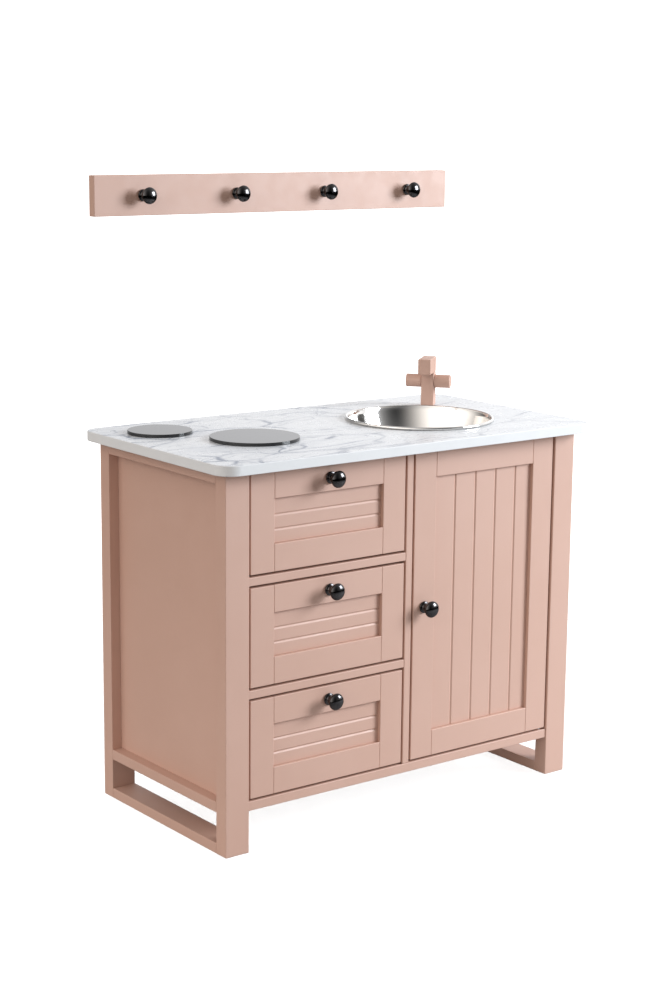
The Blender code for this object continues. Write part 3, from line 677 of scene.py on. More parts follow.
@dataclass(frozen=True)
class PlainFinish:
    """A finish of one tone with a little cloud, uneven gloss and a fine relief.

    Args:
        name: The material's name.
        light: The lighter of its two tones.
        dark: The darker of its two tones.
        roughness: Its smoothest and its roughest.
        metallic: 1 for metal, 0 for others.
        cloud_scale: How fine its clouds of tone are.
        relief_scale: How fine its relief is.
        relief: How deep its relief is, in metres.
        gloss: How strongly its skin reflects, 0.5 being common.
        patch_ratio: How much finer its patches of gloss are than its clouds.
        relief_strength: How strongly the relief shows.
    """

    name: str
    light: tuple
    dark: tuple
    roughness: tuple
    metallic: float = 0.0
    cloud_scale: float = 30.0
    relief_scale: float = 900.0
    relief: float = 0.0002
    gloss: float = 0.5
    patch_ratio: float = 2.5
    relief_strength: float = 0.06

    def material(self) -> bpy.types.Material:
        """Make the finish."""
        graph = Graph(self.name)
        tone = graph.mix(graph.cloud(self.cloud_scale, detail=3.0), self.dark, self.light)
        rough = graph.cloud(self.cloud_scale * self.patch_ratio, 3.0, *self.roughness)
        relief = graph.bump(graph.noise(self.relief_scale), self.relief_strength, self.relief)
        return graph.dress(
            Base_Color=tone,
            Roughness=rough,
            Normal=relief,
            Metallic=self.metallic,
            Specular_IOR_Level=self.gloss,
        )


@dataclass(frozen=True)
class PolishedSteel:
    """Spun and polished steel, with faint rings about the bowl's axis.

    The rings read the distance from the axis and the height, so they are the same all round.
    """

    centre: tuple
    light: tuple = (0.760, 0.745, 0.725)
    dark: tuple = (0.680, 0.665, 0.645)
    roughness: tuple = (0.05, 0.11)
    tone_scale: float = 30.0
    ring_scale: float = 1400.0
    ring_relief: tuple = (0.05, 0.00004)
    wave_scale: float = 22.0
    wave_relief: tuple = (0.10, 0.0004)

    def material(self) -> bpy.types.Material:
        """Make the steel."""
        graph = Graph("polished_steel")
        mapping = graph.add("ShaderNodeMapping")
        graph.feed(mapping, Vector=graph.place, Location=tuple(-c for c in self.centre))
        flat = graph.vector("MULTIPLY", mapping.outputs[0], (1.0, 1.0, 0.0)).outputs[0]
        radius = graph.vector("LENGTH", flat).outputs["Value"]
        parts = graph.add("ShaderNodeSeparateXYZ")
        graph.join(mapping.outputs[0], parts.inputs[0])
        ring = graph.add("ShaderNodeCombineXYZ")
        graph.join(radius, ring.inputs["X"])
        graph.join(parts.outputs["Z"], ring.inputs["Z"])
        rings = graph.noise(self.ring_scale, 2.0, ring.outputs[0])
        relief = graph.bump(rings, *self.ring_relief)
        relief = graph.bump(graph.noise(self.wave_scale, detail=1.0), *self.wave_relief, relief)
        rough = graph.spread(rings, *NOISE_RANGE, *self.roughness)
        tone = graph.mix(graph.noise(self.tone_scale), self.dark, self.light)
        return graph.dress(Base_Color=tone, Roughness=rough, Normal=relief, Metallic=1.0)


@dataclass(frozen=True)
class BirchPlywood:
    """Clear-lacquered birch plywood: long fine grain on the faces and thin plies on the edges.

    The grain reads the board's own places: along, across and through. Through the board, each
    ply is ply_thickness thick and every second one is end grain, darker than the others.

    Args:
        light: The colour of the pale wood.
        dark: The colour of the dark wood.
        end_grain: The colour of the end grain.
        ply_thickness: How thick a ply is, in metres.
        fibre: How the fine fibres are stretched along, across and through the board.
        figure: The same of the broad figure.
        fibre_share: How much of the grain is fibre, the rest being figure.
        contrast: From where to where the grain turns from dark to pale.
        ply_edge: From where to where one ply turns into the next.
        end_grain_share: How much of the end grain's colour shows.
        relief: The strength and the depth of the fibres' relief.
        roughness: The lacquer's smoothest and its roughest.
    """

    light: tuple = (0.760, 0.600, 0.400)
    dark: tuple = (0.640, 0.470, 0.285)
    end_grain: tuple = (0.430, 0.275, 0.150)
    ply_thickness: float = 0.0015
    fibre: tuple = (3.0, 70.0, 70.0)
    figure: tuple = (1.2, 14.0, 14.0)
    fibre_share: float = 0.55
    contrast: tuple = (0.38, 0.62)
    ply_edge: tuple = (0.42, 0.58)
    end_grain_share: float = 0.8
    relief: tuple = (0.12, 0.0003)
    roughness: tuple = (0.42, 0.56)

    def material(self) -> bpy.types.Material:
        """Make the plywood."""
        graph = Graph("birch_plywood")
        place = graph.add("ShaderNodeAttribute", attribute_name="grain_place").outputs["Vector"]
        stretched = graph.vector("MULTIPLY", place, self.fibre).outputs[0]
        broad = graph.vector("MULTIPLY", place, self.figure).outputs[0]
        fibre = graph.noise(4.0, 4.0, stretched, Roughness=0.6)
        figure = graph.noise(2.0, 3.0, broad, Distortion=1.2)
        fine = graph.math("MULTIPLY", fibre, self.fibre_share)
        share = graph.math("ADD", fine, graph.math("MULTIPLY", figure, 1.0 - self.fibre_share))
        tone = graph.mix(graph.spread(share, *self.contrast), self.dark, self.light)
        parts = graph.add("ShaderNodeSeparateXYZ")
        graph.join(place, parts.inputs[0])
        depth = graph.math("ABSOLUTE", parts.outputs["Z"])
        cycle = graph.math("PINGPONG", graph.math("DIVIDE", depth, self.ply_thickness), 1.0)
        cross = graph.math("MULTIPLY", graph.spread(cycle, *self.ply_edge), self.end_grain_share)
        tone = graph.mix(cross, tone, self.end_grain)
        relief = graph.bump(fibre, *self.relief)
        rough = graph.spread(fibre, *NOISE_RANGE, *self.roughness)
        return graph.dress(Base_Color=tone, Roughness=rough, Normal=relief)


class Finishes:
    """The materials of the whole kitchen, one a finish."""

    def __init__(self, bowl_centre: tuple) -> None:
        """Make every material once."""
        self.paint = SatinPaint().material()
        self.marble = MarbleLaminate().material()
        self.steel = PolishedSteel(bowl_centre).material()
        self.birch = BirchPlywood().material()
        self.edge_band = PlainFinish(
            name="white_edge_band",
            light=(0.735, 0.735, 0.735),
            dark=(0.720, 0.720, 0.722),
            roughness=(0.42, 0.52),
            gloss=0.25,
        ).material()
        self.black_nickel = PlainFinish(
            name="black_nickel",
            light=(0.085, 0.080, 0.080),
            dark=(0.050, 0.047, 0.048),
            roughness=(0.10, 0.17),
            metallic=1.0,
            cloud_scale=60.0,
            relief_scale=1500.0,
            relief=0.00005,
        ).material()
        self.acrylic = PlainFinish(
            name="black_acrylic",
            light=(0.014, 0.014, 0.015),
            dark=(0.009, 0.009, 0.010),
            roughness=(0.03, 0.06),
            cloud_scale=25.0,
            relief_scale=1200.0,
            relief=0.00002,
        ).material()
        self.zinc = PlainFinish(
            name="zinc_plate",
            light=(0.640, 0.650, 0.670),
            dark=(0.520, 0.530, 0.545),
            roughness=(0.26, 0.40),
            metallic=1.0,
            cloud_scale=90.0,
        ).material()
        self.plastic = PlainFinish(
            name="catch_plastic",
            light=(0.800, 0.785, 0.745),
            dark=(0.770, 0.752, 0.710),
            roughness=(0.38, 0.48),
        ).material()


# ---------------------------------------------------------------------------------------------
# Sub-assemblies
# ---------------------------------------------------------------------------------------------


@dataclass
class SubAssembly:
    """A group of pieces that are built and dressed together.

    Args:
        finishes: The kitchen's materials.
        body: The frame's body that its pieces ride on.
    """

    finishes: Finishes
    body: str = "cabinet"

    def place(
        self, name: str, surface: Surface, materials: list, slot: Slot, *nodes: str
    ) -> bpy.types.Object:
        """Make a piece, ride it on the body, stand it for its nodes and report it.

        Args:
            name: The piece's name.
            surface: Its surface.
            materials: One material a finish number.
            slot: The record's slot for the piece; not used.
            nodes: The frame's nodes that it stands for.

        Returns:
            The piece.
        """
        piece = make_object(name, surface, materials)
        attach(piece, self.body)
        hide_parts(*nodes)
        log.info("%s on %s: %d points", name, self.body, len(surface.points))
        return piece


@dataclass
class Carcass(SubAssembly):
    """The painted boards of the cabinet, its runners, and the panels let into the two ends."""

    arris: float = 0.0011
    fine_arris: float = 0.0005
    notch_gap: float = arris / 3
    panel_housing: float = 0.0052
    ply_arris: float = 0.0004

    def boards(self) -> None:
        """Build the straight painted boards."""
        ends = [
            f"{side}_{part}"
            for side in ("left", "right")
            for part in ("front_leg", "back_leg", "foot_rail", "mid_rail", "top_rail")
        ]
        inner = ["bottom_front_rail", "cabinet_floor", "back_panel", "front_stretcher", "back_stretcher"]
        rails = ["lower_drawer_rail", "upper_drawer_rail"]
        for node in ends + inner + rails:
            surface = block(*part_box(node), self.arris)
            self.place(f"{node}_board", surface, [self.finishes.paint], Slot.PAINT, node)

    def end_panels(self) -> None:
        """Build the panels, which show up to the faces of the boards that house their edges."""
        for side in ("left", "right"):
            node = f"{side}_side_panel"
            low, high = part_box(node)
            housed = Vector((0.0, self.panel_housing, self.panel_housing))
            surface = block(low + housed, high - housed, self.fine_arris)
            self.place(f"{side}_end_panel", surface, [self.finishes.paint], Slot.PAINT, node)

    def divider(self) -> None:
        """Build the upright divider, notched for the two stretchers."""
        low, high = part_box("divider")
        notches = []
        for node in ("front_stretcher", "back_stretcher"):
            near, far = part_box(node)
            start, end = near.y - self.notch_gap, far.y + self.notch_gap
            notches.append((start, end, near.z - self.notch_gap))
        front, back = notches
        corners = [
            (low.y, low.z),
            (high.y, low.z),
            (high.y, high.z),
            (back[1], high.z),
            (back[1], back[2]),
            (back[0], back[2]),
            (back[0], high.z),
            (front[1], high.z),
            (front[1], front[2]),
            (front[0], front[2]),
            (front[0], high.z),
            (low.y, high.z),
        ]
        surface = prism(filleted(corners, self.arris), low.x, high.x, self.arris, Axis.X)
        self.place("divider_board", surface, [self.finishes.paint], Slot.PAINT, "divider")

    def runners(self) -> None:
        """Build the birch runners that carry the upper drawers."""
        for level in ("lower", "upper"):
            for side in ("left", "right"):
                node = f"{level}_{side}_runner"
                surface = block(*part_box(node), self.ply_arris).grained(Axis.Y, Axis.X)
                self.place(f"{node}_strip", surface, [self.finishes.birch], Slot.BIRCH, node)

    def build(self) -> None:
        """Build the whole carcass."""
        self.boards()
        self.end_panels()
        self.divider()
        self.runners()


@dataclass
class Knob:
    """A turned knob: a mushroom head on a narrow waist over a round flange.

    The outline runs smoothly through a few points of each, from the foot's middle to the
    crown, which is a quarter of an ellipse. A point is a share of its part's radius and a
    height. Heights are in metres from the foot, from the flange's top or from the neck; under
    the head they are shares of the rise from the neck to the widest place.
    """

    flange_radius: float = 0.0095
    flange_height: float = 0.0035
    waist_radius: float = 0.0052
    head_radius: float = 0.0132
    neck_height: float = 0.0150
    widest_height: float = 0.0198
    length: float = 0.0265
    flange_foot: tuple = ((0.0, 0.0), (0.50, 0.0), (0.90, 0.0001), (1.0, 0.0010))
    flange_top: tuple = ((1.0, -0.0014), (0.93, -0.0003), (0.72, 0.0005))
    waist_foot: tuple = ((1.08, 0.0028), (1.0, 0.0058))
    waist_top: tuple = ((1.06, -0.0018), (1.42, -0.0001))
    head_under: tuple = ((0.76, 0.14), (0.94, 0.46), (1.0, 1.0))
    crown_steps: int = 8
    span_steps: int = 4
    steps: int = 56

    def outline(self) -> Outline:
        """Draw the knob's outline as a smooth line from its foot to its crown."""
        rise = self.widest_height - self.neck_height
        parts = (
            (self.flange_foot, self.flange_radius, 0.0, 1.0),
            (self.flange_top, self.flange_radius, self.flange_height, 1.0),
            (self.waist_foot, self.waist_radius, self.flange_height, 1.0),
            (self.waist_top, self.waist_radius, self.neck_height, 1.0),
            (self.head_under, self.head_radius, self.neck_height, rise),
        )
        line = [np.array(points) * (radius, tall) + (0.0, foot) for points, radius, foot, tall in parts]
        angle = np.linspace(0.0, QUARTER, self.crown_steps + 1)[1:]
        dome = self.length - self.widest_height
        crown = (self.head_radius * np.cos(angle), self.widest_height + dome * np.sin(angle))
        return smooth(np.vstack((*line, np.stack(crown, axis=-1))), self.span_steps)

    def surface(self, node: str) -> Surface:
        """Turn the knob and stand it where the frame has it, looking to the front."""
        low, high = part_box(node)
        foot = ((low.x + high.x) / 2, high.y, (low.z + high.z) / 2)
        return facing_front(turned(self.outline(), self.steps), foot)


@dataclass
class FramedFront(SubAssembly):
    """A drawer front or a door: two stiles, two cross rails and a panel of grooved boards."""

    name: str = ""
    boards_run: Axis = Axis.X
    arris: float = 0.0010
    joint_gap: float = 0.0001
    panel_lap: float = 0.0057
    panel_gap: float = 0.0002
    groove_half: float = 0.0025
    groove_depth: float = 0.0015
    groove_round: float = 0.0004
    panel_arris: float = 0.0003

    def window(self) -> tuple[float, float, float, float]:
        """Find the frame's window from the panel, which laps behind it all round."""
        low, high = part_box(f"{self.name}_panel")
        lap = self.panel_lap
        return low.x + lap, low.z + lap, high.x - lap, high.z - lap

    def frame(self) -> None:
        """Build the stiles, which run the full height, and the rails between them."""
        low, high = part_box(f"{self.name}_frame")
        left, bottom, right, top = self.window()
        gap = self.joint_gap
        spans = [
            (low.x, low.z, left, high.z),
            (right, low.z, high.x, high.z),
            (left + gap, low.z, right - gap, bottom),
            (left + gap, top, right - gap, high.z),
        ]
        boards = [block((a, low.y, b), (c, high.y, d), self.arris) for a, b, c, d in spans]
        node = f"{self.name}_frame"
        self.place(f"{node}_boards", joined(*boards), [self.finishes.paint], Slot.PAINT, node)

    def groove_places(self) -> np.ndarray:
        """Read where the grooves run from the frame's own panel."""
        mesh = frame["nodes"][f"{self.name}_panel"].data
        points = np.empty(len(mesh.vertices) * 3, np.float32)
        mesh.vertices.foreach_get("co", points)
        points = points.reshape(-1, 3)
        face = points[:, 1].min()
        at_bottom = np.abs(points[:, 1] - face - self.groove_depth) < self.groove_depth / 4
        across = 2 if self.boards_run is Axis.X else 0
        return np.unique(np.round(points[at_bottom, across], 4))

    def panel(self) -> None:
        """Build the grooved panel inside the window.

        Its section is a flat board whose face dips in a V at each groove. The boards run
        along one axis and the section is carried along it.
        """
        low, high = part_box(f"{self.name}_panel")
        left, bottom, right, top = self.window()
        gap = self.panel_gap
        face, back = low.y, high.y
        level = self.boards_run is Axis.X
        start, end = (bottom + gap, top - gap) if level else (left + gap, right - gap)
        places = self.groove_places()[:, None]
        dips = places + np.array((-self.groove_half, 0.0, self.groove_half))
        depths = np.broadcast_to((0.0, self.groove_depth, 0.0), dips.shape) + face
        line = np.stack((dips.ravel(), depths.ravel()), axis=-1)
        corners = np.vstack(((start, face), line, (end, face), (end, back), (start, back)))
        if level:
            corners = corners[::-1, ::-1]
        rounding = np.full(len(corners), self.panel_arris)
        sunk = np.abs(corners[:, 0 if level else 1] - face - self.groove_depth) < self.panel_arris
        rounding[sunk] = self.groove_round
        outline = filleted(corners, rounding)
        ends = (left + gap, right - gap) if level else (bottom + gap, top - gap)
        surface = prism(outline, *ends, self.panel_arris, self.boards_run)
        node = f"{self.name}_panel"
        self.place(f"{node}_boards", surface, [self.finishes.paint], Slot.PAINT, node)

    def knob(self) -> None:
        """Build the knob on the front."""
        node = f"{self.name}_knob"
        knob, materials = Knob().surface(node), [self.finishes.black_nickel]
        self.place(f"{node}_turning", knob, materials, Slot.BLACK_NICKEL, node)

    def build(self) -> None:
        """Build the front and its knob."""
        self.frame()
        self.panel()
        self.knob()


@dataclass
class Drawer(FramedFront):
    """A drawer: its framed front and the birch box behind it."""

    wall: float = 0.009
    base: float = 0.006
    ply_arris: float = 0.0004

    def box(self) -> None:
        """Build the box from two sides, a front and a back between them, and a base."""
        node = f"{self.name}_box"
        low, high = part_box(node)
        wall, gap = self.wall, self.joint_gap
        inner_left, inner_right = low.x + wall + gap, high.x - wall - gap
        inner_front, inner_back = low.y + wall + gap, high.y - wall - gap
        boards = (
            (low, (low.x + wall, high.y, high.z), Axis.Y, Axis.X),
            ((high.x - wall, low.y, low.z), high, Axis.Y, Axis.X),
            ((inner_left, low.y, low.z), (inner_right, low.y + wall, high.z), Axis.X, Axis.Y),
            ((inner_left, high.y - wall, low.z), (inner_right, high.y, high.z), Axis.X, Axis.Y),
            (
                (inner_left, inner_front, low.z),
                (inner_right, inner_back, low.z + self.base),
                Axis.X,
                Axis.Z,
            ),
        )
        parts = [
            block(start, end, self.ply_arris).grained(along, through)
            for start, end, along, through in boards
        ]
        self.place(f"{node}_boards", joined(*parts), [self.finishes.birch], Slot.BIRCH, node)

    def build(self) -> None:
        """Build the drawer."""
        super().build()
        self.box()


@dataclass
class Door(FramedFront):
    """The cupboard door with its pivots, its steel plate and the magnet that holds it."""

    name: str = "door"
    boards_run: Axis = Axis.Z
    pin_steps: int = 32
    pin_chamfer: float = 0.0005
    plate_arris: float = 0.0003
    screw_radius: float = 0.0030
    screw_height: float = 0.0004
    screw_top: float = 0.8
    pole_width: float = 0.0016
    pole_reach: float = 0.0003

    def pins(self) -> None:
        """Build the two pivot pins, which stay with the cabinet."""
        cabinet = SubAssembly(self.finishes)
        for level in ("lower", "upper"):
            node = f"{level}_pivot_pin"
            low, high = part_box(node)
            radius = (high.x - low.x) / 2
            corners = [(0.0, low.z), (radius, low.z), (radius, high.z), (0.0, high.z)]
            pin = turned(filleted(corners, self.pin_chamfer, closed=False), self.pin_steps)
            middle = np.array(((low.x + high.x) / 2, (low.y + high.y) / 2, 0.0))
            pin = pin.moved(np.eye(3), middle)
            cabinet.place(f"{node}_rod", pin, [self.finishes.zinc], Slot.ZINC, node)

    def plate(self) -> None:
        """Build the steel plate on the back of the door, with the head of its screw."""
        low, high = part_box("door_strike_plate")
        face = high.y - self.screw_height
        plate = block(low, (high.x, face, high.z), self.plate_arris)
        height, radius = self.screw_height, self.screw_radius
        corners = [(0.0, -height), (radius, -height), (radius, 0.0)]
        corners += [(radius * self.screw_top, height), (0.0, height)]
        head = turned(filleted(corners, self.screw_height / 4, closed=False), self.pin_steps)
        turn = np.array(((-1.0, 0.0, 0.0), (0.0, 0.0, 1.0), (0.0, 1.0, 0.0)))
        middle = np.array(((low.x + high.x) / 2, face, (low.z + high.z) / 2))
        surface = joined(plate, head.moved(turn, middle))
        node = "door_strike_plate"
        self.place(f"{node}_steel", surface, [self.finishes.zinc], Slot.ZINC, node)

    def magnet(self) -> None:
        """Build the magnet's plastic housing, with two steel pole plates at its front."""
        cabinet = SubAssembly(self.finishes)
        low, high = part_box("magnet_catch")
        housing = block((low.x, low.y + self.pole_reach, low.z), high, self.arris)
        middle, half = (low.x + high.x) / 2, self.pole_width / 2
        quarter, inset = (high.x - low.x) / 4, self.screw_radius
        poles = [
            block(
                (middle + side * quarter - half, low.y, low.z + inset),
                (middle + side * quarter + half, low.y + inset, high.z - inset),
                self.plate_arris,
            ).tagged(1)
            for side in (-1, 1)
        ]
        surface = joined(housing, *poles)
        materials = [self.finishes.plastic, self.finishes.zinc]
        cabinet.place("magnet_catch_housing", surface, materials, Slot.CATCH_PLASTIC, "magnet_catch")

    def build(self) -> None:
        """Build the door and its hardware."""
        super().build()
        self.pins()
        self.plate()
        self.magnet()


@dataclass
class Worktop(SubAssembly):
    """The worktop: a marble-look top, a plain white edge band, and the bowl's cut-out."""

    corner_radius: float = 0.030
    arris: float = 0.0012
    cut_arris: float = 0.0005
    corner_steps: int = 14
    spacing: float = 0.012
    cut_inside_rim: float = 0.0038
    edge_rows: int = 4

    def rounded(self, line: Outline, edge: float, height: float, facing: int) -> list[tuple]:
        """Round the edge between a level face and an upright one.

        Args:
            line: The upright face's outline.
            edge: The radius of the round.
            height: Where the level face lies.
            facing: 1 if the level face looks up, -1 if it looks down.

        Returns:
            The points and normals of each row, from the level face to the upright one.
        """
        rows = []
        for angle in np.linspace(0.0, QUARTER, self.edge_rows):
            sin, cos = np.sin(angle), np.cos(angle)
            level = np.full(len(line.points), height - facing * edge * (1 - cos))
            points = np.column_stack((line.points - line.normals * edge * (1 - sin), level))
            tilt = np.full(len(level), facing * cos)
            rows.append((points, np.column_stack((line.normals * sin, tilt))))
        return rows

    def surface(self) -> Surface:
        """Work out the slab as one closed grid.

        The columns go round the outline. The rows go up the wall of the cut-out, over its
        edge to the outline, down the rounded edge of the slab and back under it. A point of
        the cut-out lies at the same bearing from the bowl's middle as its column's point of
        the outline.
        """
        low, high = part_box("worktop")
        bowl_low, bowl_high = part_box("sink_bowl")
        centre = np.array(((bowl_low.x + bowl_high.x) / 2, (bowl_low.y + bowl_high.y) / 2))
        hole = (bowl_high.x - bowl_low.x) / 2 - self.cut_inside_rim
        rectangle = [(low.x, low.y), (high.x, low.y), (high.x, high.y), (low.x, high.y)]
        outline = filleted(rectangle, self.corner_radius, self.corner_steps).resampled(self.spacing)
        towards = unit(outline.points - centre)
        rim = Outline(centre + towards * hole, -towards)
        rows = self.rounded(rim, self.cut_arris, low.z, -1)
        rows += self.rounded(rim, self.cut_arris, high.z, 1)[::-1]
        rows += self.rounded(outline, self.arris, high.z, 1)
        rows += self.rounded(outline, self.arris, low.z, -1)[::-1]
        points = np.vstack([row for row, _ in rows])
        normals = np.vstack([normal for _, normal in rows])
        faces = grid_faces(len(rows), len(outline.points), ring=True)[:, ::-1]
        row_of_face = np.repeat(np.arange(len(rows)), len(outline.points))
        top_row = 2 * self.edge_rows - 1
        tags = np.where(np.abs(row_of_face - top_row) <= 1, 0, 1)
        return welded(Surface(points, normals, [faces], [tags]))

    def build(self) -> None:
        """Build the worktop."""
        materials = [self.finishes.marble, self.finishes.edge_band]
        self.place("worktop_slab", self.surface(), materials, Slot.WORKTOP, "worktop")


@dataclass
class Bowl(SubAssembly):
    """The spun steel bowl with a rolled bead."""

    body: str = "bowl"
    base_radius: float = 0.048
    sweep: float = math.radians(75)
    wall: float = 0.0012
    bead: float = 0.0025
    bead_sweep: tuple = (math.radians(-63), math.radians(190))
    bead_rows: int = 28
    base_rows: int = 12
    rings: int = 40
    steps: int = 160

    def wall_line(self, radius: float, base: float) -> np.ndarray:
        """Work out one face of the wall, from the flat base up to the rim's level.

        It is part of an ellipse that starts level at the base's edge and stops short of
        upright: out by spread sin a and up by drop (1 - cos a).
        """
        angle = np.linspace(0.0, self.sweep, self.rings)
        spread = (radius - self.base_radius) / math.sin(self.sweep)
        drop = -base / (1 - math.cos(self.sweep))
        out = self.base_radius + spread * np.sin(angle)
        return np.stack((out, base + drop * (1 - np.cos(angle))), axis=-1)

    def outline(self, depth: float, rim: float) -> Outline:
        """Draw the outside of the bowl, the bead over its rim, and the inside.

        Args:
            depth: From the worktop to the underside of the base.
            rim: The outer radius of the bead.

        Returns:
            The outline, from the middle of the underside to the middle of the inside.
        """
        wall_radius = rim - 2 * self.bead
        outside = self.wall_line(wall_radius, -depth)
        inside = self.wall_line(wall_radius - self.wall, self.wall - depth)
        angle = np.linspace(*self.bead_sweep, self.bead_rows)
        middle = rim - self.bead
        bead = np.stack((middle + self.bead * np.cos(angle), self.bead * (1 + np.sin(angle))), axis=-1)
        foot = np.linspace(0.0, self.base_radius, self.base_rows, endpoint=False)
        under = np.stack((foot, np.full(len(foot), -depth)), axis=-1)
        over = np.stack((foot, np.full(len(foot), self.wall - depth)), axis=-1)
        line = np.vstack((under, outside, bead, inside[::-1], over[::-1]))
        along = unit(np.gradient(line, axis=0))
        normals = np.stack((along[:, 1], -along[:, 0]), axis=-1)
        return Outline(line, normals)

    def build(self) -> None:
        """Build the bowl where the frame has it."""
        low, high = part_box("sink_bowl")
        rest = high.z - 2 * self.bead
        surface = turned(self.outline(rest - low.z, (high.x - low.x) / 2), self.steps)
        middle = np.array(((low.x + high.x) / 2, (low.y + high.y) / 2, rest))
        surface = surface.moved(np.eye(3), middle)
        self.place("sink_bowl_spinning", surface, [self.finishes.steel], Slot.STEEL, "sink_bowl")


@dataclass
class Hob(SubAssembly):
    """The two black hob discs, each with a polished edge."""

    edge: float = 0.0008
    foot_edge: float = 0.0003
    steps: int = 128

    def build(self) -> None:
        """Build both discs."""
        for node in ("small_hob_disc", "large_hob_disc"):
            low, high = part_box(node)
            radius = (high.x - low.x) / 2
            corners = [(0.0, low.z), (radius, low.z), (radius, high.z), (0.0, high.z)]
            outline = filleted(corners, [0.0, self.foot_edge, self.edge, 0.0], steps=4, closed=False)
            middle = np.array(((low.x + high.x) / 2, (low.y + high.y) / 2, 0.0))
            surface = turned(outline, self.steps).moved(np.eye(3), middle)
            self.place(f"{node}_plate", surface, [self.finishes.acrylic], Slot.BLACK_ACRYLIC, node)


@dataclass
class Tap(SubAssembly):
    """The wooden tap: post and spout block, two round handles on a rod, and the bolt below."""

    body: str = "tap"
    width: float = 0.022
    reach: float = 0.0437
    arris: float = 0.0011
    handle_radius: float = 0.0113
    handle_length: float = 0.027
    handle_chamfer: float = 0.0013
    handle_gap: float = 0.0003
    rod_radius: float = 0.004
    rod_grip: float = 0.012
    rod_chamfer: float = 0.0003
    bolt_radius: float = 0.003
    bolt_head_radius: float = 0.008
    head_gap: float = 0.0003
    steps: int = 64

    def __post_init__(self) -> None:
        """Take the tap's place and heading from the frame's joints."""
        joints = {joint["name"]: joint for joint in frame["joints"]}
        self.foot = np.array(joints["tap_swivel"]["pos_m"], float)
        self.axis_height = joints["handle_turn"]["pos_m"][2]
        across = np.array(joints["handle_turn"]["axis"], float)
        ahead = np.array((across[1], -across[0], 0.0))
        self.heading = np.column_stack((across, -ahead, (0.0, 0.0, 1.0)))

    def stood(self, surface: Surface) -> Surface:
        """Turn a surface that was built square on to the tap's heading, and stand it at its foot."""
        return surface.moved(self.heading, np.array((self.foot[0], self.foot[1], 0.0)))

    def blocks(self) -> None:
        """Build the post and the spout."""
        half = self.width / 2
        for node, front in (("tap_post", half), ("tap_spout", self.reach)):
            low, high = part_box(node)
            surface = self.stood(block((-half, -front, low.z), (half, half, high.z), self.arris))
            self.place(f"{node}_block", surface, [self.finishes.paint], Slot.PAINT, node)

    def lying(self, outline: Outline, side: int) -> Surface:
        """Turn an outline and lay it across the tap, with its foot at the middle."""
        turn = np.array(((0.0, 0.0, side), (0.0, side, 0.0), (-1.0, 0.0, 0.0)))
        lift = np.array((0.0, 0.0, self.axis_height))
        return self.stood(turned(outline, self.steps).moved(turn, lift))

    def handles(self) -> None:
        """Build the two handles and the rod that joins them."""
        turning = SubAssembly(self.finishes, "tap_handles")
        start = self.width / 2 + self.handle_gap
        end = start + self.handle_length
        corners = [(0.0, start), (self.handle_radius, start), (self.handle_radius, end), (0.0, end)]
        outline = filleted(corners, self.handle_chamfer, steps=4, closed=False)
        for name, side in (("left", -1), ("right", 1)):
            node, dowel = f"tap_{name}_handle", self.lying(outline, side)
            turning.place(f"{node}_dowel", dowel, [self.finishes.paint], Slot.PAINT, node)
        half = self.width / 2 + self.rod_grip
        corners = [(0.0, -half), (self.rod_radius, -half), (self.rod_radius, half), (0.0, half)]
        rod = self.lying(filleted(corners, self.rod_chamfer, closed=False), 1)
        turning.place("tap_handle_rod_bar", rod, [self.finishes.zinc], Slot.ZINC, "tap_handle_rod")

    def bolt(self) -> None:
        """Build the bolt that holds the post from below."""
        low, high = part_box("tap_bolt")
        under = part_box("worktop")[0].z
        corners = [
            (0.0, low.z),
            (self.bolt_head_radius, low.z),
            (self.bolt_head_radius, under - self.head_gap),
            (self.bolt_radius, under - self.head_gap),
            (self.bolt_radius, high.z),
            (0.0, high.z),
        ]
        surface = self.stood(turned(filleted(corners, self.rod_chamfer, closed=False), self.steps))
        self.place("tap_bolt_shank", surface, [self.finishes.zinc], Slot.ZINC, "tap_bolt")

    def build(self) -> None:
        """Build the tap."""
        self.blocks()
        self.handles()
        self.bolt()


@dataclass
class WallRail(SubAssembly):
    """The rail on the wall and its four knobs."""

    arris: float = 0.0011
    knob_count: int = 4

    def build(self) -> None:
        """Build the rail and its knobs."""
        surface = block(*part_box("wall_rail"), self.arris)
        self.place("wall_rail_board", surface, [self.finishes.paint], Slot.PAINT, "wall_rail")
        for number in range(1, self.knob_count + 1):
            node = f"rail_knob_{number}"
            knob = Knob().surface(node)
            self.place(f"{node}_turning", knob, [self.finishes.black_nickel], Slot.BLACK_NICKEL, node)


# ---------------------------------------------------------------------------------------------
# Studio
# ---------------------------------------------------------------------------------------------


